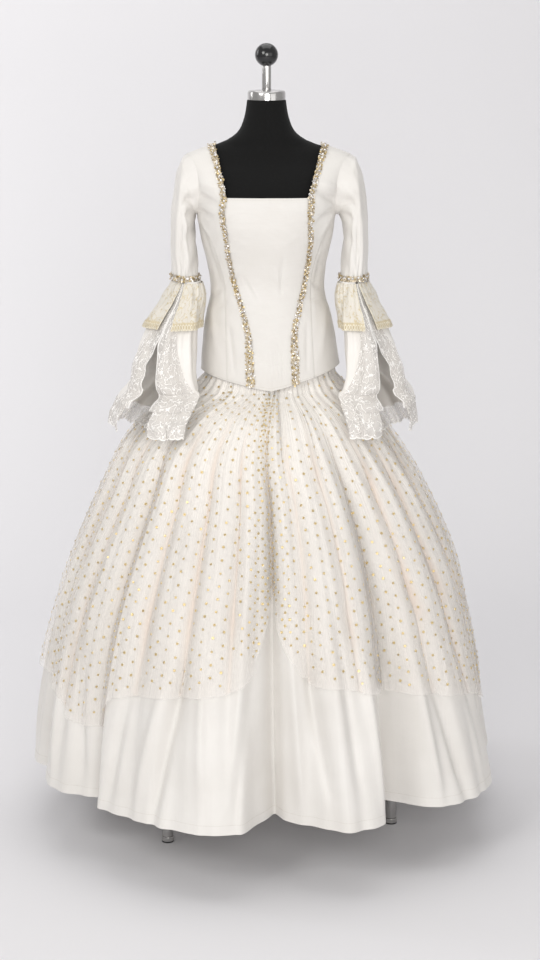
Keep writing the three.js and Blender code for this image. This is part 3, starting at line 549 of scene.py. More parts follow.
class Board:
    """The node tree of one finish, written by calls."""

    def __init__(self, name: str) -> None:
        """Starts an empty tree.

        Args:
            name: the material's name.
        """
        self.material = bpy.data.materials.new(name)
        self.material.use_nodes = True
        self.tree = self.material.node_tree
        self.tree.nodes.clear()

    def node(self, kind: str, settings: dict[str, Any] | None = None, **sockets: Any) -> Any:
        """Adds a node to the finish's tree."""
        return add_node(self.tree, kind, settings, **sockets)

    def wire(self, made: Any, name: str | int = 0) -> Wire:
        """An output of a node as a wire."""
        return Wire(self, made.outputs[name])

    def math(self, operation: str, *values: Any) -> Wire:
        """A Math node on wires and numbers."""
        filled = {f"s{i}": value for i, value in enumerate(values)}
        return self.wire(self.node("ShaderNodeMath", {"operation": operation}, **filled))

    def place(self, scale: Sequence[float] = (1, 1, 1), turn: float = 0.0, uv: bool = False) -> Wire:
        """Object or cloth coordinates, scaled and turned about Z."""
        start = self.node("ShaderNodeTexCoord")
        found = self.wire(start, "UV" if uv else "Object")
        made = self.node("ShaderNodeMapping", None, Vector=found, Scale=scale, Rotation=(0, 0, turn))
        return self.wire(made)

    def noise(self, scale: float, detail: float = 2.0, rough: float = 0.5, at: Wire | None = None) -> Wire:
        """A noise value from 0 to 1, on the object's coordinates where no others are given."""
        at = self.place() if at is None else at
        made = self.node("ShaderNodeTexNoise", None, Vector=at, Scale=scale, Detail=detail, Roughness=rough)
        return self.wire(made, "Fac")

    def woven(self, scale: Sequence[float], detail: float = 2.0, rough: float = 0.5) -> Wire:
        """A noise value from 0 to 1 on the cloth's own coordinates."""
        return self.noise(1.0, detail, rough, self.place(scale, uv=True))

    def ribs(self, spacing: float) -> Wire:
        """Ribs across the cloth as a signal from 0 to 1, spaced in metres."""
        up = self.parts(self.place(uv=True))[1]
        return (up * (2 * math.pi / spacing)).sine() * 0.5 + 0.5

    def netting(self, holes: float) -> Wire:
        """How far the nearest thread of a fine net is, with so many holes to a metre."""
        return self.wire(self.cells(self.place((holes, holes, 1), uv=True), 1.0, "DISTANCE_TO_EDGE"), 0)

    def cells(self, at: Wire, scale: float, feature: str = "F1") -> Any:
        """A Voronoi node."""
        return self.node("ShaderNodeTexVoronoi", {"feature": feature}, Vector=at, Scale=scale)

    def blend(self, share: Any, one: Any, two: Any) -> Wire:
        """A colour a share of the way from one to two."""
        made = self.node("ShaderNodeMix", {"data_type": "RGBA"}, s0=share, s6=one, s7=two)
        return Wire(self, made.outputs[2])

    def fit(self, value: Wire, low: float, high: float, start: float = 0.0, end: float = 1.0) -> Wire:
        """Maps low..high to start..end, and keeps it there."""
        made = self.node("ShaderNodeMapRange", {"clamp": True}, s0=value, s1=low, s2=high, s3=start, s4=end)
        return self.wire(made)

    def parts(self, vector: Wire) -> tuple[Wire, Wire, Wire]:
        """The three components of a vector."""
        made = self.node("ShaderNodeSeparateXYZ", None, Vector=vector)
        return self.wire(made, 0), self.wire(made, 1), self.wire(made, 2)

    def signal(self, name: str) -> Wire:
        """A number kept on the mesh's points."""
        return self.wire(self.node("ShaderNodeAttribute", {"attribute_name": name}), "Fac")

    def bump(self, height: Wire, depth: float, strength: float = 1.0, under: Wire | None = None) -> Wire:
        """A normal from a height of 0 to 1 that stands for a depth in metres."""
        more = {"Normal": under} if under else {}
        made = self.node("ShaderNodeBump", None, Height=height, Distance=depth, Strength=strength, **more)
        return self.wire(made)

    def surface(self, **sockets: Any) -> Material:
        """Ends the tree in a Principled shader.

        Args:
            sockets: its inputs, with _ for a space.

        Returns:
            The material.
        """
        shader = self.node("ShaderNodeBsdfPrincipled", None, **sockets)
        end = self.node("ShaderNodeOutputMaterial")
        self.tree.links.new(shader.outputs[0], end.inputs["Surface"])
        return self.material


@dataclass(frozen=True)
class Satin:
    """Cream faille satin, with fine ribs, slubs and a soft sheen.

    ribs is the spacing of its ribs in metres, depth how deep they are, slubs the scale
    of its slubs across and along the cloth, and top a paler colour painted in towards the
    waist as painted light, to lift the shade that falls there.
    """

    name: str = "cream_satin"
    colour: tuple[float, float, float] = (0.745, 0.724, 0.693)
    shade: tuple[float, float, float] = (0.69, 0.665, 0.63)
    ribs: float = 0.0011
    depth: float = 0.00022
    roughness: float = 0.41
    slubs: tuple[float, float, float] = (240, 6, 1)
    top: tuple[float, float, float] | None = None

    def build(self) -> Material:
        """Makes the material."""
        board = Board(self.name)
        rib = board.ribs(self.ribs)
        slub = board.woven(self.slubs, 3.0, 0.6)
        tone = board.noise(7.0, 3.0)
        colour = board.blend(board.fit(tone, 0.35, 0.7), self.colour, self.shade)
        colour = board.blend(board.fit(slub, 0.45, 0.8, 0, 0.3), colour, self.shade)
        # Painted light: the colour turns paler towards the top, lifting the shade that falls round the waist.
        if self.top:
            colour = board.blend(board.fit(board.parts(board.place())[2], 0.72, 0.94), colour, self.top)
        rough = board.fit(board.noise(38.0, 3.0), 0.3, 0.7, self.roughness - 0.05, self.roughness + 0.07)
        soft = board.bump(board.noise(22.0), 0.0022, 0.5)
        return board.surface(
            Base_Color=colour,
            Roughness=rough,
            Normal=board.bump(rib * 0.5 + slub * 0.5, self.depth, 0.6, soft),
            Sheen_Weight=0.2,
            Sheen_Roughness=0.45,
            Sheen_Tint=(1.0, 0.97, 0.92),
        )


@dataclass(frozen=True)
class Net:
    """Sheer ivory net, fuller where its layers lie in folds, and darker and pinker there, partly for the layers and
    partly as painted shade.
    """

    name: str = "ivory_net"

    def build(self) -> Material:
        """Makes the material."""
        board = Board(self.name)
        depth = board.signal("fold")
        tone = board.noise(16.0, 3.0)
        # Painted shade, partly real: in the folds the colour turns darker and pinker, for the net's layers lying over
        # each other and for the shade that falls there.
        colour = board.blend(board.fit(depth, 0.35, 1.0), (0.97, 0.935, 0.895), (0.89, 0.785, 0.70))
        colour = board.blend(board.fit(tone, 0.45, 0.8, 0, 0.3), colour, (0.89, 0.82, 0.76))
        thread = board.fit(board.netting(900), 0.02, 0.16, 1.0, 0.0)
        streak = board.woven((160, 5, 1))
        full = board.fit(depth, 0.3, 1.0, 0.17, 0.52) + board.fit(streak, 0.45, 0.75, -0.02, 0.10)
        return board.surface(
            Base_Color=colour,
            Roughness=0.6,
            Alpha=full + thread * 0.05,
            Normal=board.bump(thread, 0.0002, 0.4),
            Sheen_Weight=0.1,
        )


@dataclass(frozen=True)
class Embroidery:
    """Flowers, petals and winding stems on a cloth, as a signal from 0 to 1.

    bloom, petal and stem are how many fit in a metre, and bend how far they are pushed
    about, in metres.
    """

    bloom: float
    petal: float
    stem: float
    bend: float = 0.006

    def draw(self, board: Board) -> Wire:
        """Draws it on the cloth's own coordinates."""
        flat = board.place(uv=True)
        swirl = board.wire(board.node("ShaderNodeTexNoise", None, Vector=flat, Scale=90.0, Detail=1.0), "Color")
        push = board.wire(board.node("ShaderNodeVectorMath", {"operation": "SCALE"}, s0=swirl, Scale=self.bend))
        at = board.wire(board.node("ShaderNodeVectorMath", {"operation": "ADD"}, s0=flat, s1=push))
        flower = board.wire(board.cells(at, self.bloom), "Distance")
        petals = board.wire(board.cells(at, self.petal), "Distance")
        blooms = board.fit(flower + petals * 0.45, 0.40, 0.56, 1.0, 0.0)
        wave = board.math("ABSOLUTE", board.noise(self.stem, 1.0, at=at) - 0.5)
        return blooms.top(board.fit(wave, 0.009, 0.022, 0.9, 0.0))


@dataclass(frozen=True)
class Lace:
    """White embroidered lace: flowers and leaves on fine net."""

    name: str = "white_lace"
    ground: float = 0.30
    work: Embroidery = Embroidery(72.0, 250.0, 58.0)

    def build(self) -> Material:
        """Makes the material."""
        board = Board(self.name)
        work = self.work.draw(board).top(board.fit(board.signal("edge"), 0.75, 0.95))
        cell = board.netting(1100)
        thread = board.woven((900, 900, 1))
        return board.surface(
            Base_Color=board.blend(work, (0.86, 0.83, 0.795), (0.95, 0.93, 0.90)),
            Roughness=0.62,
            Alpha=board.fit(work, 0.0, 1.0, self.ground, 0.9) + board.fit(cell, 0.03, 0.2, 0.22, 0.0),
            Normal=board.bump(work * 0.8 + thread * 0.2, 0.0005, 0.5),
            Sheen_Weight=0.2,
        )


@dataclass(frozen=True)
class Brocade:
    """Cream brocade with small woven flowers in pale gold."""

    name: str = "gold_brocade"
    work: Embroidery = Embroidery(72.0, 235.0, 60.0)

    def build(self) -> Material:
        """Makes the material."""
        board = Board(self.name)
        work = self.work.draw(board)
        rib = board.ribs(0.0008)
        glint = board.noise(1.0, 1.0, at=board.place((1400, 1400, 1400)))
        gold = board.blend(board.fit(glint, 0.4, 0.7), (0.56, 0.45, 0.25), (0.82, 0.73, 0.50))
        ground = board.blend(board.noise(30.0), (0.80, 0.765, 0.69), (0.74, 0.69, 0.60))
        colour = board.blend(work * 0.85, ground, gold)
        return board.surface(
            Base_Color=board.blend(board.signal("edge") * 0.8, colour, (0.66, 0.55, 0.33)),
            Roughness=board.fit(work + glint * 0.4, 0.0, 1.2, 0.46, 0.3),
            Metallic=work * 0.35,
            Normal=board.bump(work * 0.7 + rib * 0.3, 0.0006, 0.8),
            Sheen_Weight=0.15,
        )


@dataclass(frozen=True)
class Glitter:
    """Metal flake or foil in one colour, broken up by tiny facets."""

    name: str
    colour: tuple[float, float, float]
    dark: tuple[float, float, float]
    roughness: float = 0.26
    metallic: float = 0.9
    grain: float = 900.0

    def build(self) -> Material:
        """Makes the material."""
        board = Board(self.name)
        made = board.cells(board.place(), self.grain)
        grey = board.parts(board.wire(made, "Color"))[0]
        return board.surface(
            Base_Color=board.blend(grey, self.colour, self.dark),
            Roughness=board.fit(grey, 0.0, 1.0, self.roughness, self.roughness + 0.18),
            Metallic=self.metallic,
            Normal=board.bump(grey, 0.0006, 0.7),
        )


@dataclass(frozen=True)
class Cover:
    """Matt black stretch cloth over the dress form."""

    name: str = "black_jersey"

    def build(self) -> Material:
        """Makes the material."""
        board = Board(self.name)
        knit = board.cells(board.place((1, 1, 0.6)), 1300.0)
        stitch = board.wire(knit, "Distance")
        dust = board.noise(240.0, 4.0, 0.7)
        colour = board.blend(board.fit(dust, 0.5, 0.8), (0.004, 0.004, 0.004), (0.011, 0.011, 0.011))
        return board.surface(
            Base_Color=colour,
            Roughness=board.fit(dust, 0.3, 0.7, 0.8, 0.92),
            Normal=board.bump(stitch, 0.0003, 0.5),
            Sheen_Weight=0.05,
            Sheen_Roughness=0.5,
            Specular_IOR_Level=0.2,
        )


@dataclass(frozen=True)
class Hard:
    """A hard smooth finish, such as chrome or plastic, with faint wear."""

    name: str
    colour: tuple[float, float, float]
    roughness: float
    metallic: float = 0.0
    coat: float = 0.0
    wear: float = 0.06

    def build(self) -> Material:
        """Makes the material."""
        board = Board(self.name)
        smear = board.noise(60.0, 4.0, 0.65, board.place((1, 1, 0.25)))
        scratch = board.noise(1.0, at=board.place((300, 300, 12)))
        darker = tuple(c * 0.8 for c in self.colour)
        return board.surface(
            Base_Color=board.blend(board.fit(smear, 0.4, 0.75), self.colour, darker),
            Roughness=board.fit(smear, 0.3, 0.75, self.roughness, self.roughness + self.wear),
            Metallic=self.metallic,
            Coat_Weight=self.coat,
            Normal=board.bump(scratch, 0.00004, 0.3),
        )


@dataclass(frozen=True)
class Backdrop:
    """The pale seamless paper of the floor and the wall, clear from behind."""

    name: str = "pale_paper"
    colour: tuple[float, float, float] = (0.775, 0.767, 0.785)

    def build(self) -> Material:
        """Makes the material."""
        board = Board(self.name)
        fibre = board.noise(90.0, 4.0)
        behind = board.wire(board.node("ShaderNodeNewGeometry"), "Backfacing")
        shade = tuple(c * 0.985 for c in self.colour)
        return board.surface(
            Base_Color=board.blend(fibre, self.colour, shade),
            Roughness=0.85,
            Alpha=1.0 - behind,
            Normal=board.bump(fibre, 0.0002, 0.2),
        )


class Finishes:
    """All finishes, built once."""

    def __init__(self) -> None:
        """Builds each finish."""
        self.satin = Satin().build()
        self.ribbed = Satin("ribbed_satin", ribs=0.0026, depth=0.0008, roughness=0.48, slubs=(9, 210, 1)).build()
        # The skirt's satin turns paler towards the waist: painted light, lifting the shade round the waist.
        self.skirt = Satin("skirt_satin", top=(0.93, 0.91, 0.875)).build()
        # A paler copy of the cream satin for the flounces: painted light, so that their shaded insides read lighter.
        self.light = Satin("light_satin", (0.85, 0.825, 0.79), (0.80, 0.77, 0.73)).build()
        self.net = Net().build()
        self.lace = Lace().build()
        self.brocade = Brocade().build()
        self.gold = Glitter("gold_sequins", (0.80, 0.66, 0.38), (0.36, 0.26, 0.12)).build()
        self.champagne = Glitter("champagne_sequins", (0.93, 0.85, 0.70), (0.56, 0.46, 0.32)).build()
        self.silver = Glitter("silver_sequins", (0.93, 0.91, 0.88), (0.55, 0.51, 0.47)).build()
        self.braid = Glitter("champagne_braid", (0.80, 0.74, 0.62), (0.52, 0.44, 0.32), 0.45, 0.4).build()
        self.crystal = Glitter("clear_crystals", (0.98, 0.98, 1.0), (0.80, 0.80, 0.84), 0.06, 0.25, 700.0).build()
        self.thread = Hard("ivory_thread", (0.60, 0.56, 0.50), 0.6, 0.0).build()
        self.cord = Glitter("gold_cord", (0.95, 0.91, 0.80), (0.84, 0.76, 0.58), 0.4, 0.3, 1500.0).build()
        self.glitter = Glitter("gold_glitter", (0.93, 0.77, 0.43), (0.56, 0.40, 0.17), 0.28, 0.8, 1500.0).build()
        self.cover = Cover().build()
        self.chrome = Hard("polished_chrome", (0.62, 0.61, 0.60), 0.14, 1.0).build()
        self.plastic = Hard("gloss_black", (0.008, 0.008, 0.009), 0.16, 0.0, 0.4).build()
        self.rubber = Hard("black_rubber", (0.02, 0.02, 0.02), 0.7).build()
        self.backdrop = Backdrop().build()


# ---- body
BODICE_SECTIONS = Table(
    ("z", "width", "front", "back", "squareness"),
    (
        (985, 160, 114, 126, 2.2), (1035, 155, 110, 120, 2.2), (1089, 149, 106, 113, 2.2),
        (1127, 144, 102, 106, 2.2), (1167, 136, 97, 97, 2.2), (1196, 128, 92, 90, 2.2), (1223, 125, 90, 86, 2.2),
        (1269, 130, 99, 91, 2.2), (1322, 142, 115, 100, 2.3), (1362, 149, 122, 104, 2.4),
        (1392, 152, 119, 105, 2.6), (1424, 157, 108, 103, 2.8), (1455, 167, 93, 98, 3), (1480, 177, 77, 87, 3),
        (1500, 186, 63, 72, 2.6), (1511, 176, 58, 66, 2.4), (1524, 142, 55, 61, 2.2), (1533, 113, 53, 58, 2),
        (1541, 90, 52, 56, 2),
    ),
)
FORM_SECTIONS = Table(
    ("z", "width", "front", "back", "squareness"),
    (
        (930, 112, 78, 86, 2.2), (1005, 120, 84, 92, 2.2), (1089, 122, 82, 88, 2.2), (1167, 116, 79, 79, 2.2),
        (1223, 111, 77, 73, 2.2), (1269, 122, 91, 84, 2.2), (1322, 134, 107, 92, 2.3), (1362, 141, 113, 95, 2.4),
        (1392, 143, 110, 96, 2.6), (1424, 146, 99, 94, 2.8), (1455, 154, 84, 88, 3), (1478, 162, 69, 78, 2.8),
        (1496, 166, 55, 63, 2.4), (1508, 160, 51, 58, 2), (1521.5, 137, 49, 55, 1.65), (1530.6, 108.5, 47, 52, 1.6),
        (1543, 80, 47, 51, 2), (1559, 61, 46, 48, 2), (1574, 53, 45, 46, 2), (1598, 46, 43, 43, 2),
        (1625, 42, 41, 41, 2),
    ),
)
DRIFT = Table(
    ("z", "x"),
    ((985, 11), (1035, 9), (1110, 6), (1200, 3), (1300, 0), (1385, 0), (1424, 2), (1500, 4)),
)


@dataclass(frozen=True)
class Body:
    """A body of level sections, rounded or squared."""

    sections: Table

    def at(self, angle: Any, z: Any, out: Any = 0.0) -> Grid:
        """Points on it at angles and heights, moved out level.

        Args:
            angle: degrees round the body.
            z: heights.
            out: how far out.

        Returns:
            The points.
        """
        angle, z = np.broadcast_arrays(np.asarray(angle, float), np.asarray(z, float))
        turn = np.radians(angle)
        power = 2 / self.sections.curve("squareness", z)
        side, ahead = np.sin(turn), np.cos(turn)
        reach = np.where(ahead > 0, self.sections.curve("front", z), self.sections.curve("back", z))
        x = np.sign(side) * np.abs(side) ** power * (self.sections.curve("width", z) + out)
        y = -np.sign(ahead) * np.abs(ahead) ** power * (reach + out)
        return np.stack([x, y, z], -1)

    def depth(self, x: Any, z: Any, face: Face) -> Numbers:
        """The surface's y at a distance from the middle and a height."""
        square = self.sections.curve("squareness", z)
        share = np.minimum(np.abs(x) / self.sections.curve("width", z), 1)
        y = (1 - share**square) ** (1 / square)
        return -y * self.sections.curve("front", z) if face is Face.FRONT else y * self.sections.curve("back", z)

    def angle(self, x: Any, z: Any, face: Face) -> Numbers:
        """The angle at which it has a distance from the middle at a height."""
        square = self.sections.curve("squareness", z)
        share = np.minimum(np.abs(x) / self.sections.curve("width", z), 1)
        found = np.degrees(np.arcsin(share ** (square / 2)))
        return found if face is Face.FRONT else 180 - found


def drifted(grid: Grid) -> Grid:
    """The grid moved to +X with the gown's centre line."""
    made = grid.copy()
    made[..., 0] += DRIFT.curve("x", grid[..., 2])
    return made


TORSO = Body(BODICE_SECTIONS)


@dataclass
class BodiceCut:
    """The seams and edges of the bodice, and the panels between them.

    The rows of a panel are counted over the hem, the body and the strap. lean is how far
    the princess seams move to +X below the chest, and tilt how much lower the hem hangs
    on -X, for each millimetre from the middle.
    """

    princess: Table = Table(
        ("z", "x"), ((985, 49), (1110, 49), (1200, 66), (1255, 79), (1335, 90), (1385, 92), (1424, 88))
    )
    side_front: Table = Table(("z", "x"), ((985, 98), (1223, 95), (1300, 111), (1345, 130), (1385, 149.4)))
    back: Table = Table(("z", "x"), ((985, 52), (1223, 40), (1300, 56), (1385, 78), (1446, 92)))
    side_back: Table = Table(("z", "x"), ((985, 112), (1223, 92), (1300, 110), (1345, 130), (1385, 149.4)))
    hem: Table = Table(
        ("x", "front", "back"),
        ((0, 1006, 1024), (30, 1012, 1026), (62, 1021, 1028), (95, 1029, 1030), (112, 1034, 1034), (160, 1048, 1048)),
    )
    armhole: Table = Table(
        ("share", "x"),
        ((0, 149.4), (0.2635, 148), (0.5, 149), (0.7, 154), (0.84, 161), (0.94, 169), (1, 176)),
    )
    first_row: float = 1062.0
    tilt: float = 0.04
    neckline: dict[Face, float] = field(default_factory=lambda: {Face.FRONT: 1424.0, Face.BACK: 1446.0})
    shoulder_neck: float = 116.0
    corner_share: float = 0.2635
    underarm_dip: float = 6.0
    satin: float = 1.5
    hem_rows: int = 7
    body_rows: int = 66
    strap_rows: int = 45
    lean: float = 4.8
    lean_from: float = 1320.0
    groove: float = 1.0
    groove_width: float = 2.6

    def seam(self, seam: Table, z: Any, side: int = 0) -> Numbers:
        """How far a seam is from the middle; below the chest it leans to +X on a side of 1 or -1."""
        return seam.curve("x", z) + side * self.lean * smoothstep(CHEST, self.lean_from, z)

    def edge(self, seam: Table, face: Face, side: int = 0) -> Callable[[Any], Numbers]:
        """A panel's edge along a seam: the angle at a height."""
        return lambda z: TORSO.angle(self.seam(seam, z, side), z, face)

    def ridge(self, x: Any) -> Numbers:
        """The height of the shoulder's ridge at a distance from the middle."""
        rows = [row for row in BODICE_SECTIONS.rows if row[0] >= 1511]
        widths = np.array([row[1] for row in rows])[::-1]
        return np.interp(np.abs(x), widths, np.array([row[0] for row in rows])[::-1])

    def lower(self, start: Callable, end: Callable, columns: Numbers, top: Any, face: Face) -> Grid:
        """The points of a panel from the hem up to a top edge.

        Args:
            start: the angle of its first edge at a height.
            end: the angle of its last edge at a height.
            columns: shares of the way between them.
            top: the height of its top, for each column.
            face: which column of the hem it follows.

        Returns:
            The grid.
        """
        first = TORSO.at(mix(start(self.first_row), end(self.first_row), columns), self.first_row)
        hem = self.hem.curve(face.value, np.abs(first[..., 0]))
        low = mix(hem[None, :], self.first_row, up_by(self.hem_rows))
        high = mix(self.first_row, np.broadcast_to(top, columns.shape)[None, :], up_by(self.body_rows)[1:])
        z = np.concatenate([low, high])
        angle = mix(start(z), end(z), columns[None, :])
        return TORSO.at(angle, z)

    def tilted(self, grid: Grid) -> Grid:
        """The panel with its lowest rows tilted, as the gown hangs."""
        made = grid.copy()
        n = self.hem_rows
        made[:n, :, 2] += self.tilt * grid[:n, :, 0] * up_by(n, 1, 0)
        return made

    def strap(self, seam: Table, columns: Numbers, face: Face, shares: Numbers) -> Grid:
        """The points over the chest and the shoulder, between neck edge and armhole.

        Args:
            seam: the seam below its neck edge.
            columns: shares of the way from the neck edge to the armhole, for all rows
                or for each.
            face: front or back.
            shares: shares of the way up, by the armhole.

        Returns:
            The grid.
        """
        corner_z = self.neckline[face]
        corner_x = float(seam.line("x", corner_z))
        corner = (corner_z - CHEST) / float(self.ridge(corner_x) - CHEST)
        neck_share = np.interp(shares, [0, self.corner_share, 0.5, 1], [0, corner, 0.5, 1])[:, None]
        from_x = np.interp(neck_share, [0, corner, 1], [float(seam.line("x", CHEST)), corner_x, self.shoulder_neck])
        to_x = self.armhole.curve("x", shares)[:, None]
        columns = np.atleast_2d(columns)
        x = mix(from_x, to_x, columns)
        z = mix(CHEST, self.ridge(x), mix(neck_share, shares[:, None], columns))
        y = TORSO.depth(x, z, face)
        y[-1] = 0.0
        y[-2] = mix(y[-2], 0.0, 0.12)
        return np.stack([x, y, z], -1)

    def side_panel(self, face: Face, columns: Numbers, side: int = 0) -> Grid:
        """Side front or side back, drawn on +X, from its inner seam to the armhole."""
        inner, outer = (self.princess, self.side_front) if face is Face.FRONT else (self.back, self.side_back)
        low = self.lower(self.edge(inner, face, side), self.edge(outer, face), columns, CHEST, face)
        high = self.strap(inner, columns, face, np.linspace(0, 1, self.strap_rows)[1:])
        grid = np.concatenate([low, high])
        return grid if face is Face.FRONT else grid[:, ::-1]

    def underarm(self, columns: Numbers) -> Grid:
        """The panel under the arm of the +X side."""
        start, end = self.edge(self.side_front, Face.FRONT), self.edge(self.side_back, Face.BACK)
        return self.lower(start, end, columns, CHEST - self.underarm_dip * np.sin(np.pi * columns), Face.FRONT)

    def front_centre(self, columns: Numbers) -> Grid:
        """The ribbed panel at the front, up to the square neckline."""
        right, left = (self.edge(self.princess, Face.FRONT, side) for side in (-1, 1))
        return self.lower(lambda z: -right(z), left, columns, self.neckline[Face.FRONT], Face.FRONT)

    def back_centre(self, columns: Numbers) -> Grid:
        """The +X half of the centre back."""
        start = self.edge(self.back, Face.BACK)
        return self.lower(start, lambda z: 180.0 + 0 * z, columns, self.neckline[Face.BACK], Face.BACK)

    def armhole_point(self, angle: Numbers) -> Grid:
        """The armhole's edge on the +X side by the sleeve's angle: 0 on top, 90 in front."""
        marks = [0, 25, 50, 75, 100, 125, 150]
        shares = [1, 0.94, 0.84, 0.7, 0.5, self.corner_share, 0]
        turned = np.where(angle > 180, 360 - angle, angle)
        share = np.interp(turned, marks, shares)
        x = self.armhole.curve("x", share)
        z = mix(CHEST, self.ridge(x), share)
        fronts, backs = TORSO.depth(x, z, Face.FRONT), TORSO.depth(x, z, Face.BACK)
        y = np.where(angle <= 180, fronts, backs) * np.clip((1 - share) / 0.05, 0, 1)
        under = np.clip((angle - 150) / 60, 0, 1)
        dip = CHEST - self.underarm_dip * np.sin(np.pi * under)
        start = TORSO.angle(self.side_front.line("x", CHEST), CHEST, Face.FRONT)
        end = TORSO.angle(self.side_back.line("x", CHEST), CHEST, Face.BACK)
        foot = TORSO.at(mix(start, end, under), dip)
        below = (angle > 150) & (angle < 210)
        return np.where(below[..., None], foot, np.stack([x, y, z], -1))


@dataclass
class Bodice:
    """The fitted bodice: nine panels with their creases and rows of stitches."""

    finishes: Finishes
    sewing: Sewing
    cut: BodiceCut = field(default_factory=BodiceCut)
    columns: int = 28
    deepest: float = 7.6
    sharp: float = 0.66
    front_creases: tuple[Crease, ...] = creases(
        (112, 1434, 154, 1410, -7.5, 11), (116, 1456, 154, 1438, 3.4, 9), (146, 1396, 110, 1372, -4.6, 9),
        (142, 1384, 118, 1342, 3.0, 8), (146, 1368, 120, 1312, -4.2, 8), (-106, 1410, -150, 1426, -6.8, 12),
        (-112, 1446, -152, 1452, 2.8, 10), (-150, 1396, -116, 1380, -4.4, 9), (-146, 1376, -122, 1338, 2.8, 8),
        (-142, 1360, -120, 1298, -3.8, 8), (120, 1296, 104, 1230, -3.6, 8), (-116, 1292, -102, 1232, -3.8, 8),
        (98, 1236, 124, 1214, -3.2, 6), (-94, 1228, -122, 1204, -3.4, 6), (92, 1206, 118, 1190, -2.4, 6),
        (-90, 1198, -114, 1178, -2.2, 6), (126, 1180, 112, 1076, 3.0, 10), (-124, 1172, -114, 1070, 3.2, 10),
        (84, 1150, 80, 1050, -1.8, 8), (-86, 1140, -78, 1046, -2.0, 8),
    )
    centre_creases: tuple[Crease, ...] = creases(
        (36, 1300, 29, 1214, -2.0, 4.5), (22, 1282, 24, 1230, 1.4, 5), (-52, 1250, -28, 1208, -1.5, 6),
        (-40, 1236, -18, 1200, 1.0, 5), (4, 1164, 46, 1152, -1.5, 5), (-36, 1170, -4, 1162, -1.3, 5),
        (-72, 1338, -38, 1318, 1.3, 9), (68, 1340, 34, 1322, 1.4, 9), (8, 1102, 10, 1020, -1.0, 2.6),
        (17, 1110, 19, 1022, -1.0, 2.6), (26, 1096, 27, 1024, -0.9, 2.6), (-2, 1090, 0, 1018, -0.9, 2.6),
    )
    back_creases: tuple[Crease, ...] = creases(
        (140, 1384, 104, 1350, -4.6, 10), (-142, 1388, -108, 1352, -4.2, 10), (146, 1366, 118, 1318, -3.6, 8),
        (-140, 1360, -116, 1306, -3.8, 8), (120, 1300, 60, 1276, -3.2, 9), (-118, 1292, -64, 1270, -3.4, 9),
        (104, 1248, 48, 1234, -2.8, 7), (-100, 1242, -44, 1232, -2.6, 7), (84, 1210, 110, 1100, 2.6, 11),
        (-80, 1206, -108, 1096, 2.6, 11), (152, 1444, 110, 1422, -3.0, 10), (-150, 1450, -114, 1426, -3.0, 10),
        (30, 1180, 26, 1060, -1.6, 8), (-26, 1170, -30, 1056, -1.6, 8),
    )

    def relief(self, grid: Grid, centre: bool = False) -> Numbers:
        """How far each point of a panel stands out: creases, puckers and seam grooves.

        Args:
            grid: the panel before the drift.
            centre: whether it is the ribbed front panel.

        Returns:
            The lift of each point, in millimetres.
        """
        x, y, z = grid[..., 0], grid[..., 1], grid[..., 2]
        total = np.zeros_like(x)
        for crease in self.centre_creases if centre else self.front_creases:
            total += crease.lift(x, z, self.sharp) * smoothstep(10, -10, y)
        for crease in self.back_creases:
            total += crease.lift(x, z, self.sharp) * smoothstep(-10, 10, y)
        run = lengths(grid, 1) / MM
        near = np.minimum(run, run[:, -1:] - run)
        low = 1.0 if centre else smoothstep(CHEST, CHEST - 14, z)
        total = np.maximum(total, -self.deepest) * np.maximum(low, smoothstep(0, 9, near))
        total -= self.cut.groove * np.exp(-((near / self.cut.groove_width) ** 2)) * low
        pucker = wander(z / 260, 11 if centre else 12, 8, 22)
        total += 0.35 * pucker * np.exp(-((near / 7) ** 2)) * low
        total += 0.45 * wander(x / 420 + z / 300, 21, 7, 7) * low
        return total

    def panel(self, name: str, grid: Grid, finish: Material, slot: Slot) -> None:
        """Makes one panel that stands for its CAD node.

        Args:
            name: the node's name.
            grid: its outer points before the drift.
            finish: its material.
            slot: its slot.
        """
        grid = self.cut.tilted(grid)
        lift = self.relief(grid, name == "front_centre")[..., None]
        outer = drifted(grid + normals(grid) * lift)
        mesh = sheet_mesh("cloth_" + name, outer, self.cut.satin)
        piece = link("cloth_" + name, mesh, finish, slot, name)
        rows = [mix(outer[0], outer[1], 0.62)]
        rows += [mix(outer[-1], outer[-2], 0.6)] if "centre" in name else []
        seam = self.sewing.row("stitches_" + name, rows, normals(outer)[1], slot)

    def build(self) -> None:
        """Makes the nine panels."""
        across = np.linspace(0, 1, self.columns + 1)
        wide = np.linspace(0, 1, 2 * self.columns + 1)
        satin = self.finishes.satin
        self.panel("front_centre", self.cut.front_centre(wide), self.finishes.ribbed, Slot.RIBBED)
        flat = (0.15, 0.53, 0.035)
        self.panel("front_side_left", self.cut.side_panel(Face.FRONT, across, 1), satin, Slot.SATIN)
        self.panel("front_side_right", mirrored(self.cut.side_panel(Face.FRONT, across, -1)), satin, Slot.SATIN)
        both = {
            "underarm": (self.cut.underarm(across), (0.15, 0.40, 0.056)),
            "back_side": (self.cut.side_panel(Face.BACK, across), (0.17, 0.53, 0.045)),
            "back_centre": (self.cut.back_centre(across), (0.11, 0.44, 0.027)),
        }
        for name, (grid, flat) in both.items():
            self.panel(name + "_left", grid, satin, Slot.SATIN)
            self.panel(name + "_right", mirrored(grid), satin, Slot.SATIN)


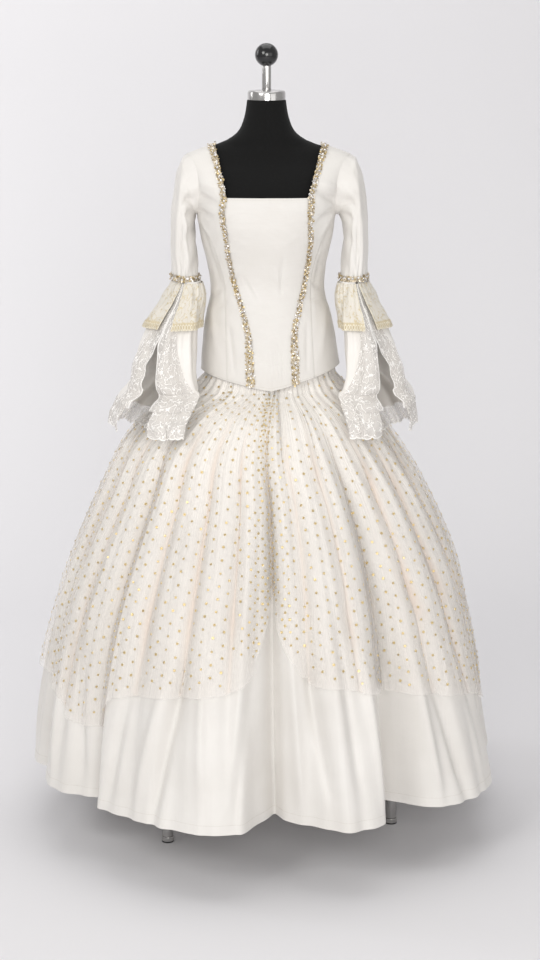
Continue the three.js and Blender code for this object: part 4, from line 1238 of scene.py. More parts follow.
# ---- skirts
@dataclass
class SkirtCut:
    """The bell of the skirt, its folds and its hem's lobes."""

    bell: Table = Table(
        ("z", "width", "front", "back", "gather", "pleat", "shift"),
        (
            (1195, 122, 86.5, 84.5, 1.5, 0, 3.1), (1032, 145.5, 102, 111, 3, 0.05, 9),
            (1001, 176, 105, 128, 4.2, 0.1, 9), (950, 236, 197, 220, 5.5, 0.3, -5),
            (880, 302, 268, 288, 5, 0.6, -12), (780, 358, 330, 346, 3, 1, -5), (650, 417, 398, 410, 1, 1, -3),
            (510, 462, 454, 464, 0, 0.85, -5), (330, 496, 504, 508, 0, 0.6, -4), (146, 523, 535, 538, 0, 0.35, 0),
        ),
    )
    folds: tuple[tuple[float, float], ...] = (
        (2.5, 30), (12.5, 18), (24, 17), (37, 32), (47.5, 20), (60, 26), (75, 26), (89, 24), (112, 38),
        (134.5, 34), (157, 38), (180, 36), (203, 38), (225.5, 34), (248, 38), (270, 24), (285.5, 26),
        (299, 24), (312, 32), (325.5, 20), (338.5, 19), (351, 20),
    )
    lobes: Table = Table(
        ("angle", "depth"),
        (
            (0, 96), (2.5, 120), (5, 90), (10.5, 54), (15, 16), (19, -10), (24, -12), (28, 6), (31.5, 60),
            (37, 118), (40, 92), (43.5, 26), (50, -16), (58, -26), (68, -16), (77, 6), (85, 30), (92, 8),
            (103, 2), (115, 52), (130, -4), (146, 60), (160, 0), (176, 66), (192, -2), (206, 56), (222, 2),
            (238, 58), (254, 4), (270, -6), (279, -6), (285, 22), (292, -4), (299, -10), (306, 20), (312, 48),
            (316, 8), (328, 8), (336, -6), (349, -8), (354, 6), (357, 60), (360, 96),
        ),
    )
    growth: float = 1.9
    fold_share: float = 0.86
    fold_power: float = 2.7
    crease_share: float = 1.5
    pleat_share: float = 0.5
    pleat_width: float = 1.05
    creases: tuple[Crease, ...] = creases(
        (339, 500, 333, 160, -14, 2.3), (334, 450, 328, 190, 8, 2.2), (344, 520, 345, 240, 6, 1.8),
        (323, 440, 319, 170, -9, 2.4), (356, 470, 353, 180, -7, 1.8), (7, 560, 9, 190, 7, 1.9),
        (12, 500, 16, 200, -10, 1.8), (20, 600, 22, 230, -9, 2.0), (27, 500, 29, 170, 8, 2.0),
        (43, 500, 46, 170, 9, 2.2), (48, 520, 53, 165, -14, 2.3), (58, 480, 61, 190, 8, 2.4),
        (66, 520, 70, 240, -10, 2.3), (302, 500, 306, 190, -11, 2.4), (295, 430, 297, 170, 7, 2.2),
        (288, 520, 286, 220, -8, 2.2), (82, 470, 84, 200, 7, 2.2), (96, 560, 99, 200, -11, 2.4),
        (109, 440, 111, 170, 7, 2.6), (124, 520, 127, 180, -10, 2.6), (140, 600, 137, 240, -12, 2.6),
        (153, 480, 155, 190, 10, 2.6), (168, 560, 165, 230, -12, 2.6), (186, 520, 189, 180, 9, 2.4),
        (199, 600, 196, 260, -12, 2.6), (214, 500, 217, 190, 10, 2.6), (231, 560, 228, 240, -12, 2.6),
        (246, 480, 250, 200, 10, 2.6), (262, 560, 260, 230, -11, 2.4), (275, 460, 276, 180, 6, 2.2),
    )
    pleats: tuple[tuple[float, float, float], ...] = (
        (5, 760, 5), (9.5, 560, 7), (15, 700, 5), (19, 480, 8), (27, 640, 6), (31, 820, 5), (41, 520, 8), (44, 760, 5),
        (52, 600, 7), (56, 840, 4), (65, 560, 8), (70, 720, 5), (80, 620, 6), (84, 800, 5), (97, 560, 7), (103, 740, 5),
        (120, 600, 8), (127, 780, 5), (143, 540, 8), (150, 720, 5), (165, 620, 7), (172, 800, 5), (187, 560, 8),
        (195, 740, 5), (210, 600, 7), (218, 780, 5), (233, 540, 8), (240, 700, 5), (256, 620, 7), (263, 800, 4),
        (276, 560, 7), (281, 760, 5), (290, 600, 7), (295, 820, 4), (304, 520, 8), (308, 720, 5), (317, 640, 6),
        (321, 800, 5), (331, 500, 9), (335, 740, 5), (343, 580, 7), (347, 780, 5), (355, 620, 6), (358.5, 700, 5),
    )

    def fold(self, angle: Numbers) -> tuple[Numbers, Numbers, Numbers]:
        """Where an angle lies in its fold.

        Args:
            angle: degrees round the skirt.

        Returns:
            The fold's depth there, a signal of 0 on its ridge and 1 in its valley, and
            the share of the way across it.
        """
        marks = np.array([row[0] for row in self.folds])
        depths = np.array([row[1] for row in self.folds])
        turned = (np.asarray(angle, float) - marks[0]) % 360 + marks[0]
        k = np.clip(np.searchsorted(marks, turned, side="right") - 1, 0, len(marks) - 1)
        following = np.append(marks, marks[0] + 360)[k + 1]
        share = (turned - marks[k]) / (following - marks[k])
        depth = np.where(share < 0.5, depths[k], np.roll(depths, -1)[k])
        valley = (0.5 + 0.5 * np.cos(2 * np.pi * share)) ** self.fold_power
        return self.fold_share * depth * valley, valley, share

    def point(self, angle: Any, z: Any, fine: float = 1.0) -> Grid:
        """Points of the satin at angles and heights.

        Args:
            angle: degrees round the skirt.
            z: heights.
            fine: how strongly the small gathers and creases show.

        Returns:
            The points.
        """
        angle, z = np.broadcast_arrays(np.asarray(angle, float), np.asarray(z, float))
        turn = np.radians(angle)
        row = {name: self.bell.curve(name, z) for name in self.bell.columns[1:]}
        reach = np.where(np.cos(turn) > 0, row["front"], row["back"])
        bell = 1 / np.hypot(np.sin(turn) / row["width"], np.cos(turn) / reach)
        depth, _, share = self.fold(angle)
        fall = np.clip((SKIRT_TOP - z) / (SKIRT_TOP - HEM), 0, 1) ** self.growth
        lobe = self.lobes.curve("depth", angle % 360)
        gathers = row["gather"] * np.sin(2 * np.pi * share) ** 2
        small = wander(angle / 360, 31, 9, 60) * row["gather"] * 0.5
        radius = bell - depth * row["pleat"] - lobe * fall - gathers - np.abs(small) * fine
        radius = radius + fine * self.crease_lift(angle, z)
        x = radius * np.sin(turn) + row["shift"]
        return np.stack([x, -radius * np.cos(turn), z], -1)

    def crease_lift(self, angle: Numbers, z: Numbers) -> Numbers:
        """The satin's long soft creases, and the narrow pleats that run down from its gathers."""
        total = np.zeros_like(z)
        for crease in self.creases:
            (a0, z0), (a1, z1) = crease.start, crease.end
            up = np.clip((z - z1) / (z0 - z1), 0, 1)
            off = (angle % 360 - mix(a1, a0, up) + 180) % 360 - 180
            taper = np.sin(np.pi * np.clip(0.14 + 0.86 * (1 - up), 0, 1) * 0.72) ** 0.8
            ends = smoothstep(z0 + 60, z0 - 60, z) * mix(0.45, 1, smoothstep(z1 - 40, z1 + 60, z))
            total = total + self.crease_share * crease.height * taper * ends * np.exp(-((off / crease.width) ** 2 * 2))
        for mark, low, deep in self.pleats:
            off = (angle % 360 - mark + 180) % 360 - 180
            held = smoothstep(low, low + 160, z) * smoothstep(1040, 940, z)
            total = total - self.pleat_share * deep * held * np.exp(-((off / self.pleat_width) ** 2))
        return total


@dataclass
class Skirts:
    """The satin underskirt and the dotted net overskirt, each one sheet all round."""

    finishes: Finishes
    sewing: Sewing
    cut: SkirtCut = field(default_factory=SkirtCut)
    columns: int = 660
    rows: int = 66
    net_rows: int = 60
    satin: float = 1.3
    net: float = 0.5
    net_lift: float = 7.5
    lay: float = 0.7
    net_hem: Table = Table(
        ("angle", "z"),
        (
            (-90, 367), (-66, 352), (-56, 306), (-47, 308), (-41, 392), (-26, 414), (-12, 430), (-7, 440),
            (-3.5, 478), (2.5, 632), (6, 528), (9.5, 466), (13, 446), (20, 437), (31, 412), (46, 390),
            (62, 358), (76, 314), (90, 309), (118, 332), (150, 304), (180, 322), (212, 300), (244, 340),
            (270, 367),
        ),
    )
    dot_across: float = 23.5
    dot_up: float = 27.5
    dot_size: float = 6.0
    dot_edge: float = 3.0
    dot_slip: float = 1.2

    def quarters(self, node: str) -> list[str]:
        """The names of the four CAD nodes of a skirt."""
        return [f"{node}_{part}" for part in ("front_left", "back_left", "back_right", "front_right")]

    def underskirt(self) -> None:
        """The satin skirt, its hem turned up and stitched."""
        angle, share = around(self.columns), up_by(self.rows + 1)
        z = mix(HEM, SKIRT_TOP - 0.4, share**1.05)
        grid = self.cut.point(angle, z)
        hem = np.broadcast_to(smoothstep(HEM + 27, HEM + 25, z), grid.shape[:2])
        grid = grid + normals(grid, True) * (hem * (0.6 + 0.7 * wander(angle / 360, 41, 9, 90)))[..., None]
        mesh = sheet_mesh("underskirt", grid, self.satin, closed=True)
        # Its finish has painted light towards the waist.
        piece = link("underskirt", mesh, self.finishes.skirt, Slot.SATIN, *self.quarters("underskirt"))
        ring = mix(grid[1], grid[2], 0.5)
        facing = normals(grid, True)[2]
        path, out = (np.concatenate([made, made[:1]]) for made in (ring, facing))
        seam = self.sewing.row("stitches_hem", [path], out, Slot.SATIN)

    def net_grid(self, angle: Numbers, share: Numbers) -> tuple[Grid, Numbers]:
        """Points of the net by angle and the share of the way from its hem to its top.

        Args:
            angle: degrees round the skirt.
            share: 0 at the hem, 1 at the top.

        Returns:
            The satin's points under it, and for each how far the net stands off and how
            deep it lies in a fold, a signal that thickens the net and paints shade into its
            colour there.
        """
        hem = self.net_hem.curve("z", np.where(angle > 270, angle - 360, angle))
        z = mix(hem, SKIRT_TOP - 0.4, share)
        base = self.cut.point(angle, z, 0.75)
        _, valley, _ = self.cut.fold(angle)
        lift = mix(self.net_lift, self.lay, smoothstep(950, 1001, z))
        fine = wander(angle / 360, 51, 12, 120)
        wide = wander(angle / 360 + 0.02 * np.sin(z / 90), 52, 9, 46)
        gathered = smoothstep(1010, 900, z)
        ripple = gathered * (3.0 * fine + 3.4 * wide)
        flare = smoothstep(0.16, 0.0, share) * (2.0 + 4.0 * wander(angle / 360, 53, 9, 34))
        lift = lift + np.maximum(ripple, -0.55 * self.net_lift * gathered) + np.maximum(flare, -2)
        # The fold signal thickens the net and paints shade into its colour; near the waist it is weaker.
        near = smoothstep(840, 1010, z)
        depth = 0.8 * valley * (1 - 0.7 * near) + 0.34 * np.clip(-wide, 0, 1) + 0.2 * np.clip(-fine, 0, 1)
        full = mix(1.0, 0.75, smoothstep(0.25, 0.0, share))
        return base, np.stack([lift, np.clip(depth * full, 0, 1)], -1)

    def overskirt(self) -> None:
        """The net, with its dots."""
        angle, share = np.broadcast_arrays(around(self.columns), up_by(self.net_rows))
        base, pair = self.net_grid(angle, share)
        inner = base + normals(base, True) * pair[..., :1]
        outer = inner + normals(inner, True) * self.net
        # The fold signal carries the net's fullness and painted shade for its colour.
        mesh = sheet_mesh("overskirt", outer, self.net, closed=True, inner=inner, signals={"fold": pair[..., 1]})
        piece = link("overskirt", mesh, self.finishes.net, Slot.NET, *self.quarters("overskirt"))
        dots = self.dots(outer)

    def dots(self, outer: Grid) -> Any:
        """Glitter dots in staggered columns that run down each fold of the net.

        Args:
            outer: the net's outer points.

        Returns:
            The object that holds all dots.
        """
        rows, n = outer.shape[:2]
        facing, rng = normals(outer, True), np.random.default_rng(7)
        fall = lengths(outer[::-1], 0)[::-1] / MM
        marks = [row[0] for row in self.cut.folds]
        found: list[tuple[Numbers, Numbers, Numbers]] = []
        for start, end in zip(marks, [*marks[1:], marks[0] + 360]):
            cols = np.arange(math.ceil(start / 360 * n), math.ceil(end / 360 * n)) % n
            run = lengths(outer[:, cols], 1) / MM
            middle = len(cols) // 2
            run = run - run[:, middle : middle + 1]
            shift, slide = rng.uniform(-0.5, 0.5) * self.dot_across, rng.uniform(0, 1) * self.dot_up
            for line in range(-7, 8):
                aside = line * self.dot_across + shift
                for down in np.arange(slide + (line % 2) * self.dot_up / 2, fall[0].max(), self.dot_up):
                    j = rows - 1 - int(np.searchsorted(fall[::-1, cols[middle]], down))
                    if not (1 <= j < rows - 1 and run[j, 0] + self.dot_edge < aside < run[j, -1] - self.dot_edge):
                        continue
                    i = cols[int(np.argmin(np.abs(run[j] - aside)))]
                    target = down + rng.uniform(-self.dot_slip, self.dot_slip)
                    k = rows - 1 - int(np.searchsorted(fall[::-1, i], target))
                    if 1 <= k < rows - 1 and fall[0, i] - target > 6:
                        share = (target - fall[k + 1, i]) / max(fall[k, i] - fall[k + 1, i], 1e-6)
                        spot = mix(outer[k + 1, i], outer[k, i], min(max(share, 0), 1))
                        found.append((spot + facing[k, i] * 0.25, facing[k, i], outer[k + 1, i] - outer[k, i]))
        shape = small_mesh("dot", ((0.5, 0.0), (0.42, 0.1)), 6)
        scatter = Scatter("net_dots", shape, self.finishes.glitter, self.dot_size * MM, spread=0.14, tilt=0.28, seed=5)
        return scatter.build(*(np.array(made) for made in zip(*found)), Slot.NET)


# ---- repeats
@dataclass
class Scatter:
    """One small shape repeated on given points by Geometry Nodes.

    size is each copy's scale, spread how much it varies, and tilt how far a copy may
    lean, in radians.
    """

    name: str
    template: Mesh
    finish: Material
    size: float
    spread: float = 0.1
    tilt: float = 0.1
    seed: int = 1

    def tree(self) -> tuple[Any, dict[str, str]]:
        """The node tree, and the identifier of each of its named inputs."""
        tree = bpy.data.node_groups.new(self.name + "_repeat", "GeometryNodeTree")
        face, named = tree.interface, {}
        kinds = {"Points": "Geometry", "Shape": "Object", "Size": "Float", "Spread": "Float"}
        kinds |= {"Tilt": "Float", "Seed": "Int", "Finish": "Material"}
        for label, kind in kinds.items():
            named[label] = face.new_socket(label, in_out="INPUT", socket_type="NodeSocket" + kind).identifier
        face.new_socket("Geometry", in_out="OUTPUT", socket_type="NodeSocketGeometry")
        join, add = tree.links.new, partial(add_node, tree)
        start = add("NodeGroupInput")
        given, vector = start.outputs, {"data_type": "FLOAT_VECTOR"}
        original = {"transform_space": "ORIGINAL"}
        shape = add("GeometryNodeObjectInfo", original, Object=given["Shape"], As_Instance=True)
        facing = add("GeometryNodeInputNamedAttribute", vector, Name="facing")
        along = add("GeometryNodeInputNamedAttribute", vector, Name="along")
        upright = add("FunctionNodeAlignRotationToVector", {"axis": "Z"}, Vector=facing.outputs[0])
        axes = {"axis": "X", "pivot_axis": "Z"}
        turned = add("FunctionNodeAlignRotationToVector", axes, Rotation=upright.outputs[0], Vector=along.outputs[0])
        back = add("ShaderNodeMath", {"operation": "MULTIPLY"}, s0=given["Tilt"], s1=-1.0)
        lean = add("FunctionNodeRandomValue", vector, Seed=given["Seed"])
        join(back.outputs[0], lean.inputs[0])
        join(given["Tilt"], lean.inputs[1])
        twist = add("FunctionNodeEulerToRotation", None, Euler=lean.outputs[0])
        local = {"rotation_space": "LOCAL"}
        rotation = add("FunctionNodeRotateRotation", local, s0=turned.outputs[0], s1=twist.outputs[0])
        smaller = add("ShaderNodeMath", {"operation": "SUBTRACT"}, s0=1.0, s1=given["Spread"])
        larger = add("ShaderNodeMath", {"operation": "ADD"}, s0=1.0, s1=given["Spread"])
        vary = add("FunctionNodeRandomValue", {"data_type": "FLOAT"}, Seed=given["Seed"])
        join(smaller.outputs[0], vary.inputs[2])
        join(larger.outputs[0], vary.inputs[3])
        size = add("ShaderNodeMath", {"operation": "MULTIPLY"}, s0=vary.outputs[1], s1=given["Size"])
        copies = add("GeometryNodeInstanceOnPoints", None, Points=given["Points"], Instance=shape.outputs["Geometry"])
        join(rotation.outputs[0], copies.inputs["Rotation"])
        join(size.outputs[0], copies.inputs["Scale"])
        real = add("GeometryNodeRealizeInstances", None, Geometry=copies.outputs[0])
        dressed = add("GeometryNodeSetMaterial", None, Geometry=real.outputs[0], Material=given["Finish"])
        add("NodeGroupOutput", None, Geometry=dressed.outputs[0])
        return tree, named

    def build(self, points: Grid, facing: Grid, along: Grid, slot: Slot) -> Any:
        """Repeats the shape and turns the result into a plain mesh.

        Args:
            points: where the copies stand, in millimetres.
            facing: the direction in which each copy's top faces.
            along: the direction of its length.
            slot: the slot for them.

        Returns:
            The object with all copies.
        """
        mesh = bpy.data.meshes.new(self.name)
        mesh.from_pydata([tuple(p) for p in points * MM], [], [])
        for key, values in (("facing", facing), ("along", along)):
            kept = mesh.attributes.new(key, "FLOAT_VECTOR", "POINT")
            kept.data.foreach_set("vector", np.asarray(values, dtype=float).ravel())
        shape, carrier = placed(self.name + "_shape", self.template), placed(self.name + "_points", mesh)
        tree, named = self.tree()
        modifier = carrier.modifiers.new("repeat", "NODES")
        modifier.node_group = tree
        labels = ("Shape", "Size", "Spread", "Tilt", "Seed", "Finish")
        for label, value in zip(labels, (shape, self.size, self.spread, self.tilt, self.seed, self.finish)):
            modifier[named[label]] = value
        view = bpy.context.evaluated_depsgraph_get()
        result = bpy.data.meshes.new_from_object(carrier.evaluated_get(view), depsgraph=view)
        carrier.modifiers.remove(modifier)
        for made in (carrier, shape):
            bpy.data.objects.remove(made)
        bpy.data.node_groups.remove(tree)
        for key in ("facing", "along"):
            if key in result.attributes:
                result.attributes.remove(result.attributes[key])
        result.name = self.name
        return link(self.name, result, self.finish, slot)


@dataclass(frozen=True)
class Sewing:
    """Rows of small stitches in one thread."""

    thread: Material
    step: float = 3.4

    def row(self, name: str, paths: Sequence[Grid], facing: Grid, slot: Slot) -> Any:
        """Sews along paths on a cloth.

        Args:
            name: the stitches' name.
            paths: the paths, in millimetres.
            facing: the way out at each point of a path.
            slot: the cloth's slot.

        Returns:
            The object with all stitches.
        """
        found = [spaced(path, facing, self.step) for path in paths]
        points, out, on = (np.concatenate(made) for made in zip(*found))
        scatter = Scatter(name, stitch_mesh(), self.thread, MM, spread=0.06, tilt=0.06, seed=3)
        return scatter.build(points, out, on, slot)


# ---- sleeves
@dataclass(frozen=True)
class Arm:
    """How one arm hangs: its side, how far it is carried out, and its spread."""

    suffix: str
    side: int
    sleeve: float
    flounce: float
    spread: float
    seed: int

    def bring(self, grid: Grid) -> Grid:
        """Brings a grid of the +X arm to this arm, with the drift above the chest."""
        made = grid if self.side > 0 else mirrored(grid)
        share = smoothstep(CHEST - 4, CHEST + 4, made[..., 2])[..., None]
        return mix(made, drifted(made), share)


@dataclass
class SleeveCut:
    """The rings of the sleeve, the flounce and the openings in it."""

    skirt: SkirtCut
    bodice: BodiceCut
    rings: tuple[tuple[float, ...], ...] = (
        (187, 1503, 154.2, 1379, 57, -4), (199, 1467, 156, 1368, 58, -7), (204.5, 1424, 156.5, 1354, 57, -10),
        (208.5, 1372, 155, 1332, 55, -15), (209.5, 1318, 152, 1300, 52, -20), (208, 1274, 149.5, 1268, 50, -24),
        (206, 1240, 148, 1240, 48, -27),
    )
    flounce: Table = Table(
        ("z", "angle", "length", "off", "thick", "wave"),
        (
            (1239.6, 81.3, 15.4, 23, 58, 0.4), (1190, 80, 17.5, 23, 80, 2), (1139, 78, 19.5, 25, 101, 4),
            (1089, 75.5, 21, 26, 118, 5), (1041, 72, 22.5, 32, 124, 5), (1001, 69, 24, 33, 118, 5.5),
            (960, 66, 24.5, 24, 92, 6), (920, 64, 23.5, 17, 58, 6.5),
        ),
    )
    split: Table = Table(("z", "angle", "flounce", "cuff"), ((920, 12, 20, 12), (1139, 44, 9, 12), (1239.6, 52, 4, 5)))
    ripples: int = 7
    top: float = 1239.6
    hem: float = 960.0
    clear: float = 7.0
    net: float = 8.5

    def sleeve(self, arm: Arm, angle: Numbers, down: Numbers) -> Grid:
        """Points of the sleeve on the +X side.

        Args:
            arm: the arm it hangs on.
            angle: degrees round each ring: 0 outermost, 90 in front.
            down: 0 at the armhole, then 1 for each ring.

        Returns:
            The points.
        """
        turn = np.radians(angle)
        share = (np.cos(turn) + 1) / 2
        keys = range(1, len(self.rings) + 1)
        rows = tuple((k, *row) for k, row in zip(keys, self.rings))
        table = Table(("k", "ox", "oz", "ix", "iz", "depth", "y"), rows)
        row = {name: table.curve(name, np.maximum(down, 1)) for name in table.columns[1:]}
        carry = arm.sleeve * np.minimum(down / 4, 1)
        x = mix(row["ix"], row["ox"], share) + carry
        y = row["y"] - row["depth"] * np.sin(turn)
        z = mix(row["iz"], row["oz"], share)
        hung = np.stack([x, y, z], -1)
        armhole = self.bodice.armhole_point(angle) + np.array([-0.3, 0, 0])
        blend = np.clip(down, 0, 1)[..., None]
        return mix(armhole, hung, blend)

    def reach(self, arm: Arm, angle: Numbers, z: Numbers) -> Numbers:
        """How far the body and the net skirt stand out on an arm's side."""
        sideways = arm.side * np.sin(np.radians(angle))
        side = TORSO.at(angle, np.maximum(z, 1020))
        body = np.hypot(side[..., 0], side[..., 1]) + DRIFT.curve("x", z) * sideways
        row = {name: self.skirt.bell.line(name, z) for name in ("width", "front", "back", "shift")}
        turn = np.radians(angle)
        ahead = np.where(np.cos(turn) > 0, row["front"], row["back"])
        bell = 1 / np.hypot(np.sin(turn) / row["width"], np.cos(turn) / ahead)
        skirt = bell + self.net + row["shift"] * sideways
        both = np.where(z > 1010, np.maximum(skirt, body), skirt)
        return mix(both, body, smoothstep(1030, 1060, z))

    def on_flounce(self, arm: Arm, turn: Numbers, z: Numbers, out: Any = 0.0, rough: float = 1.0) -> Grid:
        """Points of the flounce on the +X side.

        Args:
            arm: the arm it hangs on.
            turn: degrees round its ring.
            z: heights.
            out: how far out from the satin.
            rough: how strongly its small gathers show.

        Returns:
            The points.
        """
        turn, z = np.broadcast_arrays(np.asarray(turn, float), np.asarray(z, float))
        row = {name: self.flounce.curve(name, z) for name in self.flounce.columns[1:]}
        around = np.radians(turn)
        ripple = row["wave"] * np.cos((around - math.radians(52)) * self.ripples)
        near = smoothstep(self.top - 4, self.top - 60, z) * smoothstep(1000, 1130, z)
        ripple = ripple + rough * near * 1.6 * wander(turn / 360, 60 + arm.seed, 10, 26)
        low = smoothstep(1120, 1000, z)
        ripple = ripple + rough * low * 1.8 * wander(turn / 360 + 0.02 * np.sin(z / 50), 70 + arm.seed, 8, 14)
        grow = ripple + out
        wide = 1 + (arm.spread - 1) * np.clip((self.top - z) / 100, 0, 1)
        half = row["thick"] * wide / 2
        reach = row["off"] + half + (half + grow) * np.cos(around)
        length = (row["length"] + np.degrees(grow / 200)) * np.sin(around)
        angle = row["angle"] - length
        carry = mix(arm.flounce, arm.sleeve, np.clip((z - 1089) / 150, 0, 1))
        radius = self.reach(arm, angle, z) + np.maximum(reach, self.clear)
        flat = np.radians(angle)
        return np.stack([radius * np.sin(flat) + carry, -radius * np.cos(flat), z], -1)

    def turn(self, gap: str, share: Any, z: Any) -> Numbers:
        """The ring angle at a share of the way round from one edge of the split."""
        angle, half = self.split.line("angle", z), self.split.line(gap, z)
        return angle - mix(half, 360 - half, share)


@dataclass
class Sleeves:
    """Both sleeves with their flounces, lace and brocade cuffs."""

    finishes: Finishes
    cut: SleeveCut
    arms: tuple[Arm, ...] = (Arm("left", 1, 13, 9, 0.83, 1), Arm("right", -1, 0, 0, 1, 2))
    satin: float = 1.3
    lace: float = 0.7
    brocade: float = 1.1
    ring_step: float = 20.0
    sharp: float = 0.68
    lace_top: float = 980.0
    edge_foot: float = 976.0
    cuff_foot: float = 1141.0
    loop_step: float = 6.4
    cord: float = 0.9
    cuff_top: float = 1236.0
    strips: Table = Table(
        ("z", "front", "outer"),
        ((976, 0.20, 0.10), (1020, 0.15, 0.085), (1080, 0.095, 0.07), (1139, 0.05, 0.05), (1236, 0.03, 0.03)),
    )
    cuff_creases: tuple[Crease, ...] = creases(
        (88, 1228, 112, 1186, -5.0, 9), (74, 1226, 82, 1190, 3.4, 7), (128, 1228, 122, 1176, 3.0, 9),
        (100, 1180, 134, 1166, -2.4, 9), (20, 1228, 8, 1184, -4.0, 8), (-14, 1226, -22, 1190, 3.0, 8),
        (-60, 1228, -72, 1180, -4.4, 9), (-110, 1226, -104, 1184, -3.8, 9), (-160, 1228, -170, 1180, -4.0, 9),
    )
    creases: tuple[Crease, ...] = creases(
        (120, 0.9, 84, 2.7, -6.5, 10), (104, 0.9, 74, 2.2, 3.0, 9), (144, 1.6, 98, 3.6, -5.0, 11),
        (60, 1.2, 68, 3.6, 3.4, 12), (104, 3.0, 110, 5.8, 3.6, 10), (86, 3.4, 84, 6.2, -3.6, 9),
        (64, 4.0, 60, 6.6, 2.6, 8), (128, 4.2, 90, 5.0, -3.2, 9), (40, 2.4, 32, 5.6, -3.4, 10),
        (20, 0.6, 54, 1.7, 2.6, 10), (72, 5.6, 75, 7.0, -3.0, 6), (96, 5.8, 98, 7.0, -2.6, 6),
        (48, 5.8, 46, 7.0, -2.6, 6), (240, 1.2, 266, 3.0, -6.0, 11), (218, 2.0, 262, 3.8, -4.6, 11),
        (300, 1.4, 292, 3.6, 3.4, 12), (272, 3.4, 262, 5.6, -3.8, 10), (318, 3.0, 326, 5.8, 3.0, 11),
        (344, 0.8, 330, 2.2, -2.8, 9), (284, 5.7, 286, 7.0, -2.8, 6), (250, 5.6, 246, 7.0, -2.6, 6),
    )

    def sleeve_grid(self, arm: Arm) -> Grid:
        """The sleeve's outer points before it is brought to its arm, from the elbow up."""
        angle = np.linspace(360, 0, 96, endpoint=False)[None, :] % 360
        angle, down = np.broadcast_arrays(angle, up_by(70, 7, 0))
        grid = self.cut.sleeve(arm, angle, down)
        moved = down + 0.35 * (arm.seed - 1) * np.sin(np.pi * down / 7)
        lift = np.zeros(angle.shape)
        for crease in self.creases:
            (a0, d0), (a1, d1) = crease.start, crease.end
            sized = Crease((a0, self.ring_step * d0), (a1, self.ring_step * d1), crease.height, crease.width)
            lift += sized.lift(angle, moved * self.ring_step, self.sharp)
        lift += 1.1 * wander(angle / 360 + down / 11, 80 + arm.seed, 8, 6) * smoothstep(0, 1.5, down)
        lift += 1.6 * wander(angle / 360, 84 + arm.seed, 8, 22) * smoothstep(5.4, 7, down)
        return grid + normals(grid, True) * (lift * smoothstep(0, 0.5, down))[..., None]

    def build_sleeve(self, arm: Arm) -> Grid:
        """Makes one sleeve and returns its points as it hangs."""
        grid = arm.bring(self.sleeve_grid(arm))
        mesh = sheet_mesh("cloth_sleeve_" + arm.suffix, grid, self.satin, closed=True)
        piece = link(mesh.name, mesh, self.finishes.satin, Slot.SATIN, "sleeve_" + arm.suffix)
        return grid

    def flounce_points(self, arm: Arm, columns: int, rows: int, out: float = 0.0) -> Grid:
        """The flounce's outer points on the +X side."""
        share, z = across_by(columns + 1), up_by(rows + 1, self.cut.hem, self.cut.top)
        return self.cut.on_flounce(arm, self.cut.turn("flounce", share, z), z, out)

    def build_flounce(self, arm: Arm) -> None:
        """Makes the satin flounce below the elbow."""
        grid = arm.bring(self.flounce_points(arm, 170, 56))
        mesh = sheet_mesh("cloth_flounce_" + arm.suffix, grid, self.satin)
        # The flounce takes the paler satin copy, with painted light in its colour.
        piece = link(mesh.name, mesh, self.finishes.light, Slot.SATIN, "flounce_" + arm.suffix)

    def lace_sheet(self, arm: Arm, name: str, grids: tuple[Grid, Grid], edge: Numbers) -> None:
        """Makes one strip of lace from its outer and inner points."""
        if arm.side < 0:
            edge = edge[:, ::-1]
        outer, inner = arm.bring(grids[0]), arm.bring(grids[1])
        label = f"lace_{name}_{arm.suffix}"
        mesh = sheet_mesh(label, outer, self.lace, inner=inner, signals={"edge": edge})
        piece = link(label, mesh, self.finishes.lace, Slot.LACE, "flounce_" + label)

    def build_lace_hem(self, arm: Arm) -> None:
        """Makes the lace that falls below the flounce's hem, with a scalloped edge."""
        share, up = across_by(361), up_by(22)
        scallop = 4.5 * np.abs(np.sin(np.pi * share * 26)) ** 0.7
        low = self.cut.hem - 37 - scallop + 4
        z = mix(low, self.lace_top, up)
        held = np.maximum(z, self.cut.hem)
        turn = self.cut.turn("flounce", share, held)
        free = smoothstep(self.cut.hem + 6, self.cut.hem - 40, z)
        ruffle = free * (2.2 + 3.2 * wander(share, 90 + arm.seed, 10, 30))
        outs = [1.9 + ruffle, 1.9 + ruffle - self.lace]
        grids = tuple(self.cut.on_flounce(arm, turn, z, out) for out in outs)
        edge = np.broadcast_to(smoothstep(0.2, 0.0, up), z.shape)
        self.lace_sheet(arm, "hem", grids, edge)

    def build_lace_edge(self, arm: Arm, edge: str) -> None:
        """Makes the gathered lace that falls down one edge of the split.

        Args:
            arm: its arm.
            edge: "front" or "outer".
        """
        across, up = across_by(27), up_by(121)
        z = mix(self.edge_foot, self.cuff_top, up)
        free = 1 - smoothstep(1115, 1160, z)
        width = self.strips.curve(edge, z)
        wave = 0.5 - 0.5 * np.cos(2 * np.pi * (7.0 * up + 0.18 * np.sin(9 * up) + 0.12 * across))
        frill = wave * mix(0.8, 8.0, free)
        fine = 0.5 + 0.5 * wander(up + 0.06 * across, 100 + arm.seed + len(edge), 9, 26)
        spill = self.cut.split.line("flounce", z) * mix(0.98, 0.34, smoothstep(1125, 1060, z))
        inside = np.clip((across - 0.25) / 0.75, 0, 1)
        outside = np.clip(1 - across / 0.25, 0, 1)
        lift = (frill + 2.2 * fine * free) * np.minimum(1 - 0.92 * inside, 1)
        if edge == "outer":
            turn = self.cut.turn("flounce", inside * width, z) + spill * outside
        else:
            turn = self.cut.turn("flounce", 1 - inside * width, z) - spill * outside
        outs = [2.7 + lift, 2.7 + lift - self.lace]
        grids = [self.cut.on_flounce(arm, turn, z, out) for out in outs]
        far = smoothstep(0.22, 0.0, across) * np.ones_like(z)
        if edge == "front":
            grids = [grid[:, ::-1] for grid in grids]
            far = far[:, ::-1]
        self.lace_sheet(arm, edge, (grids[0], grids[1]), far)

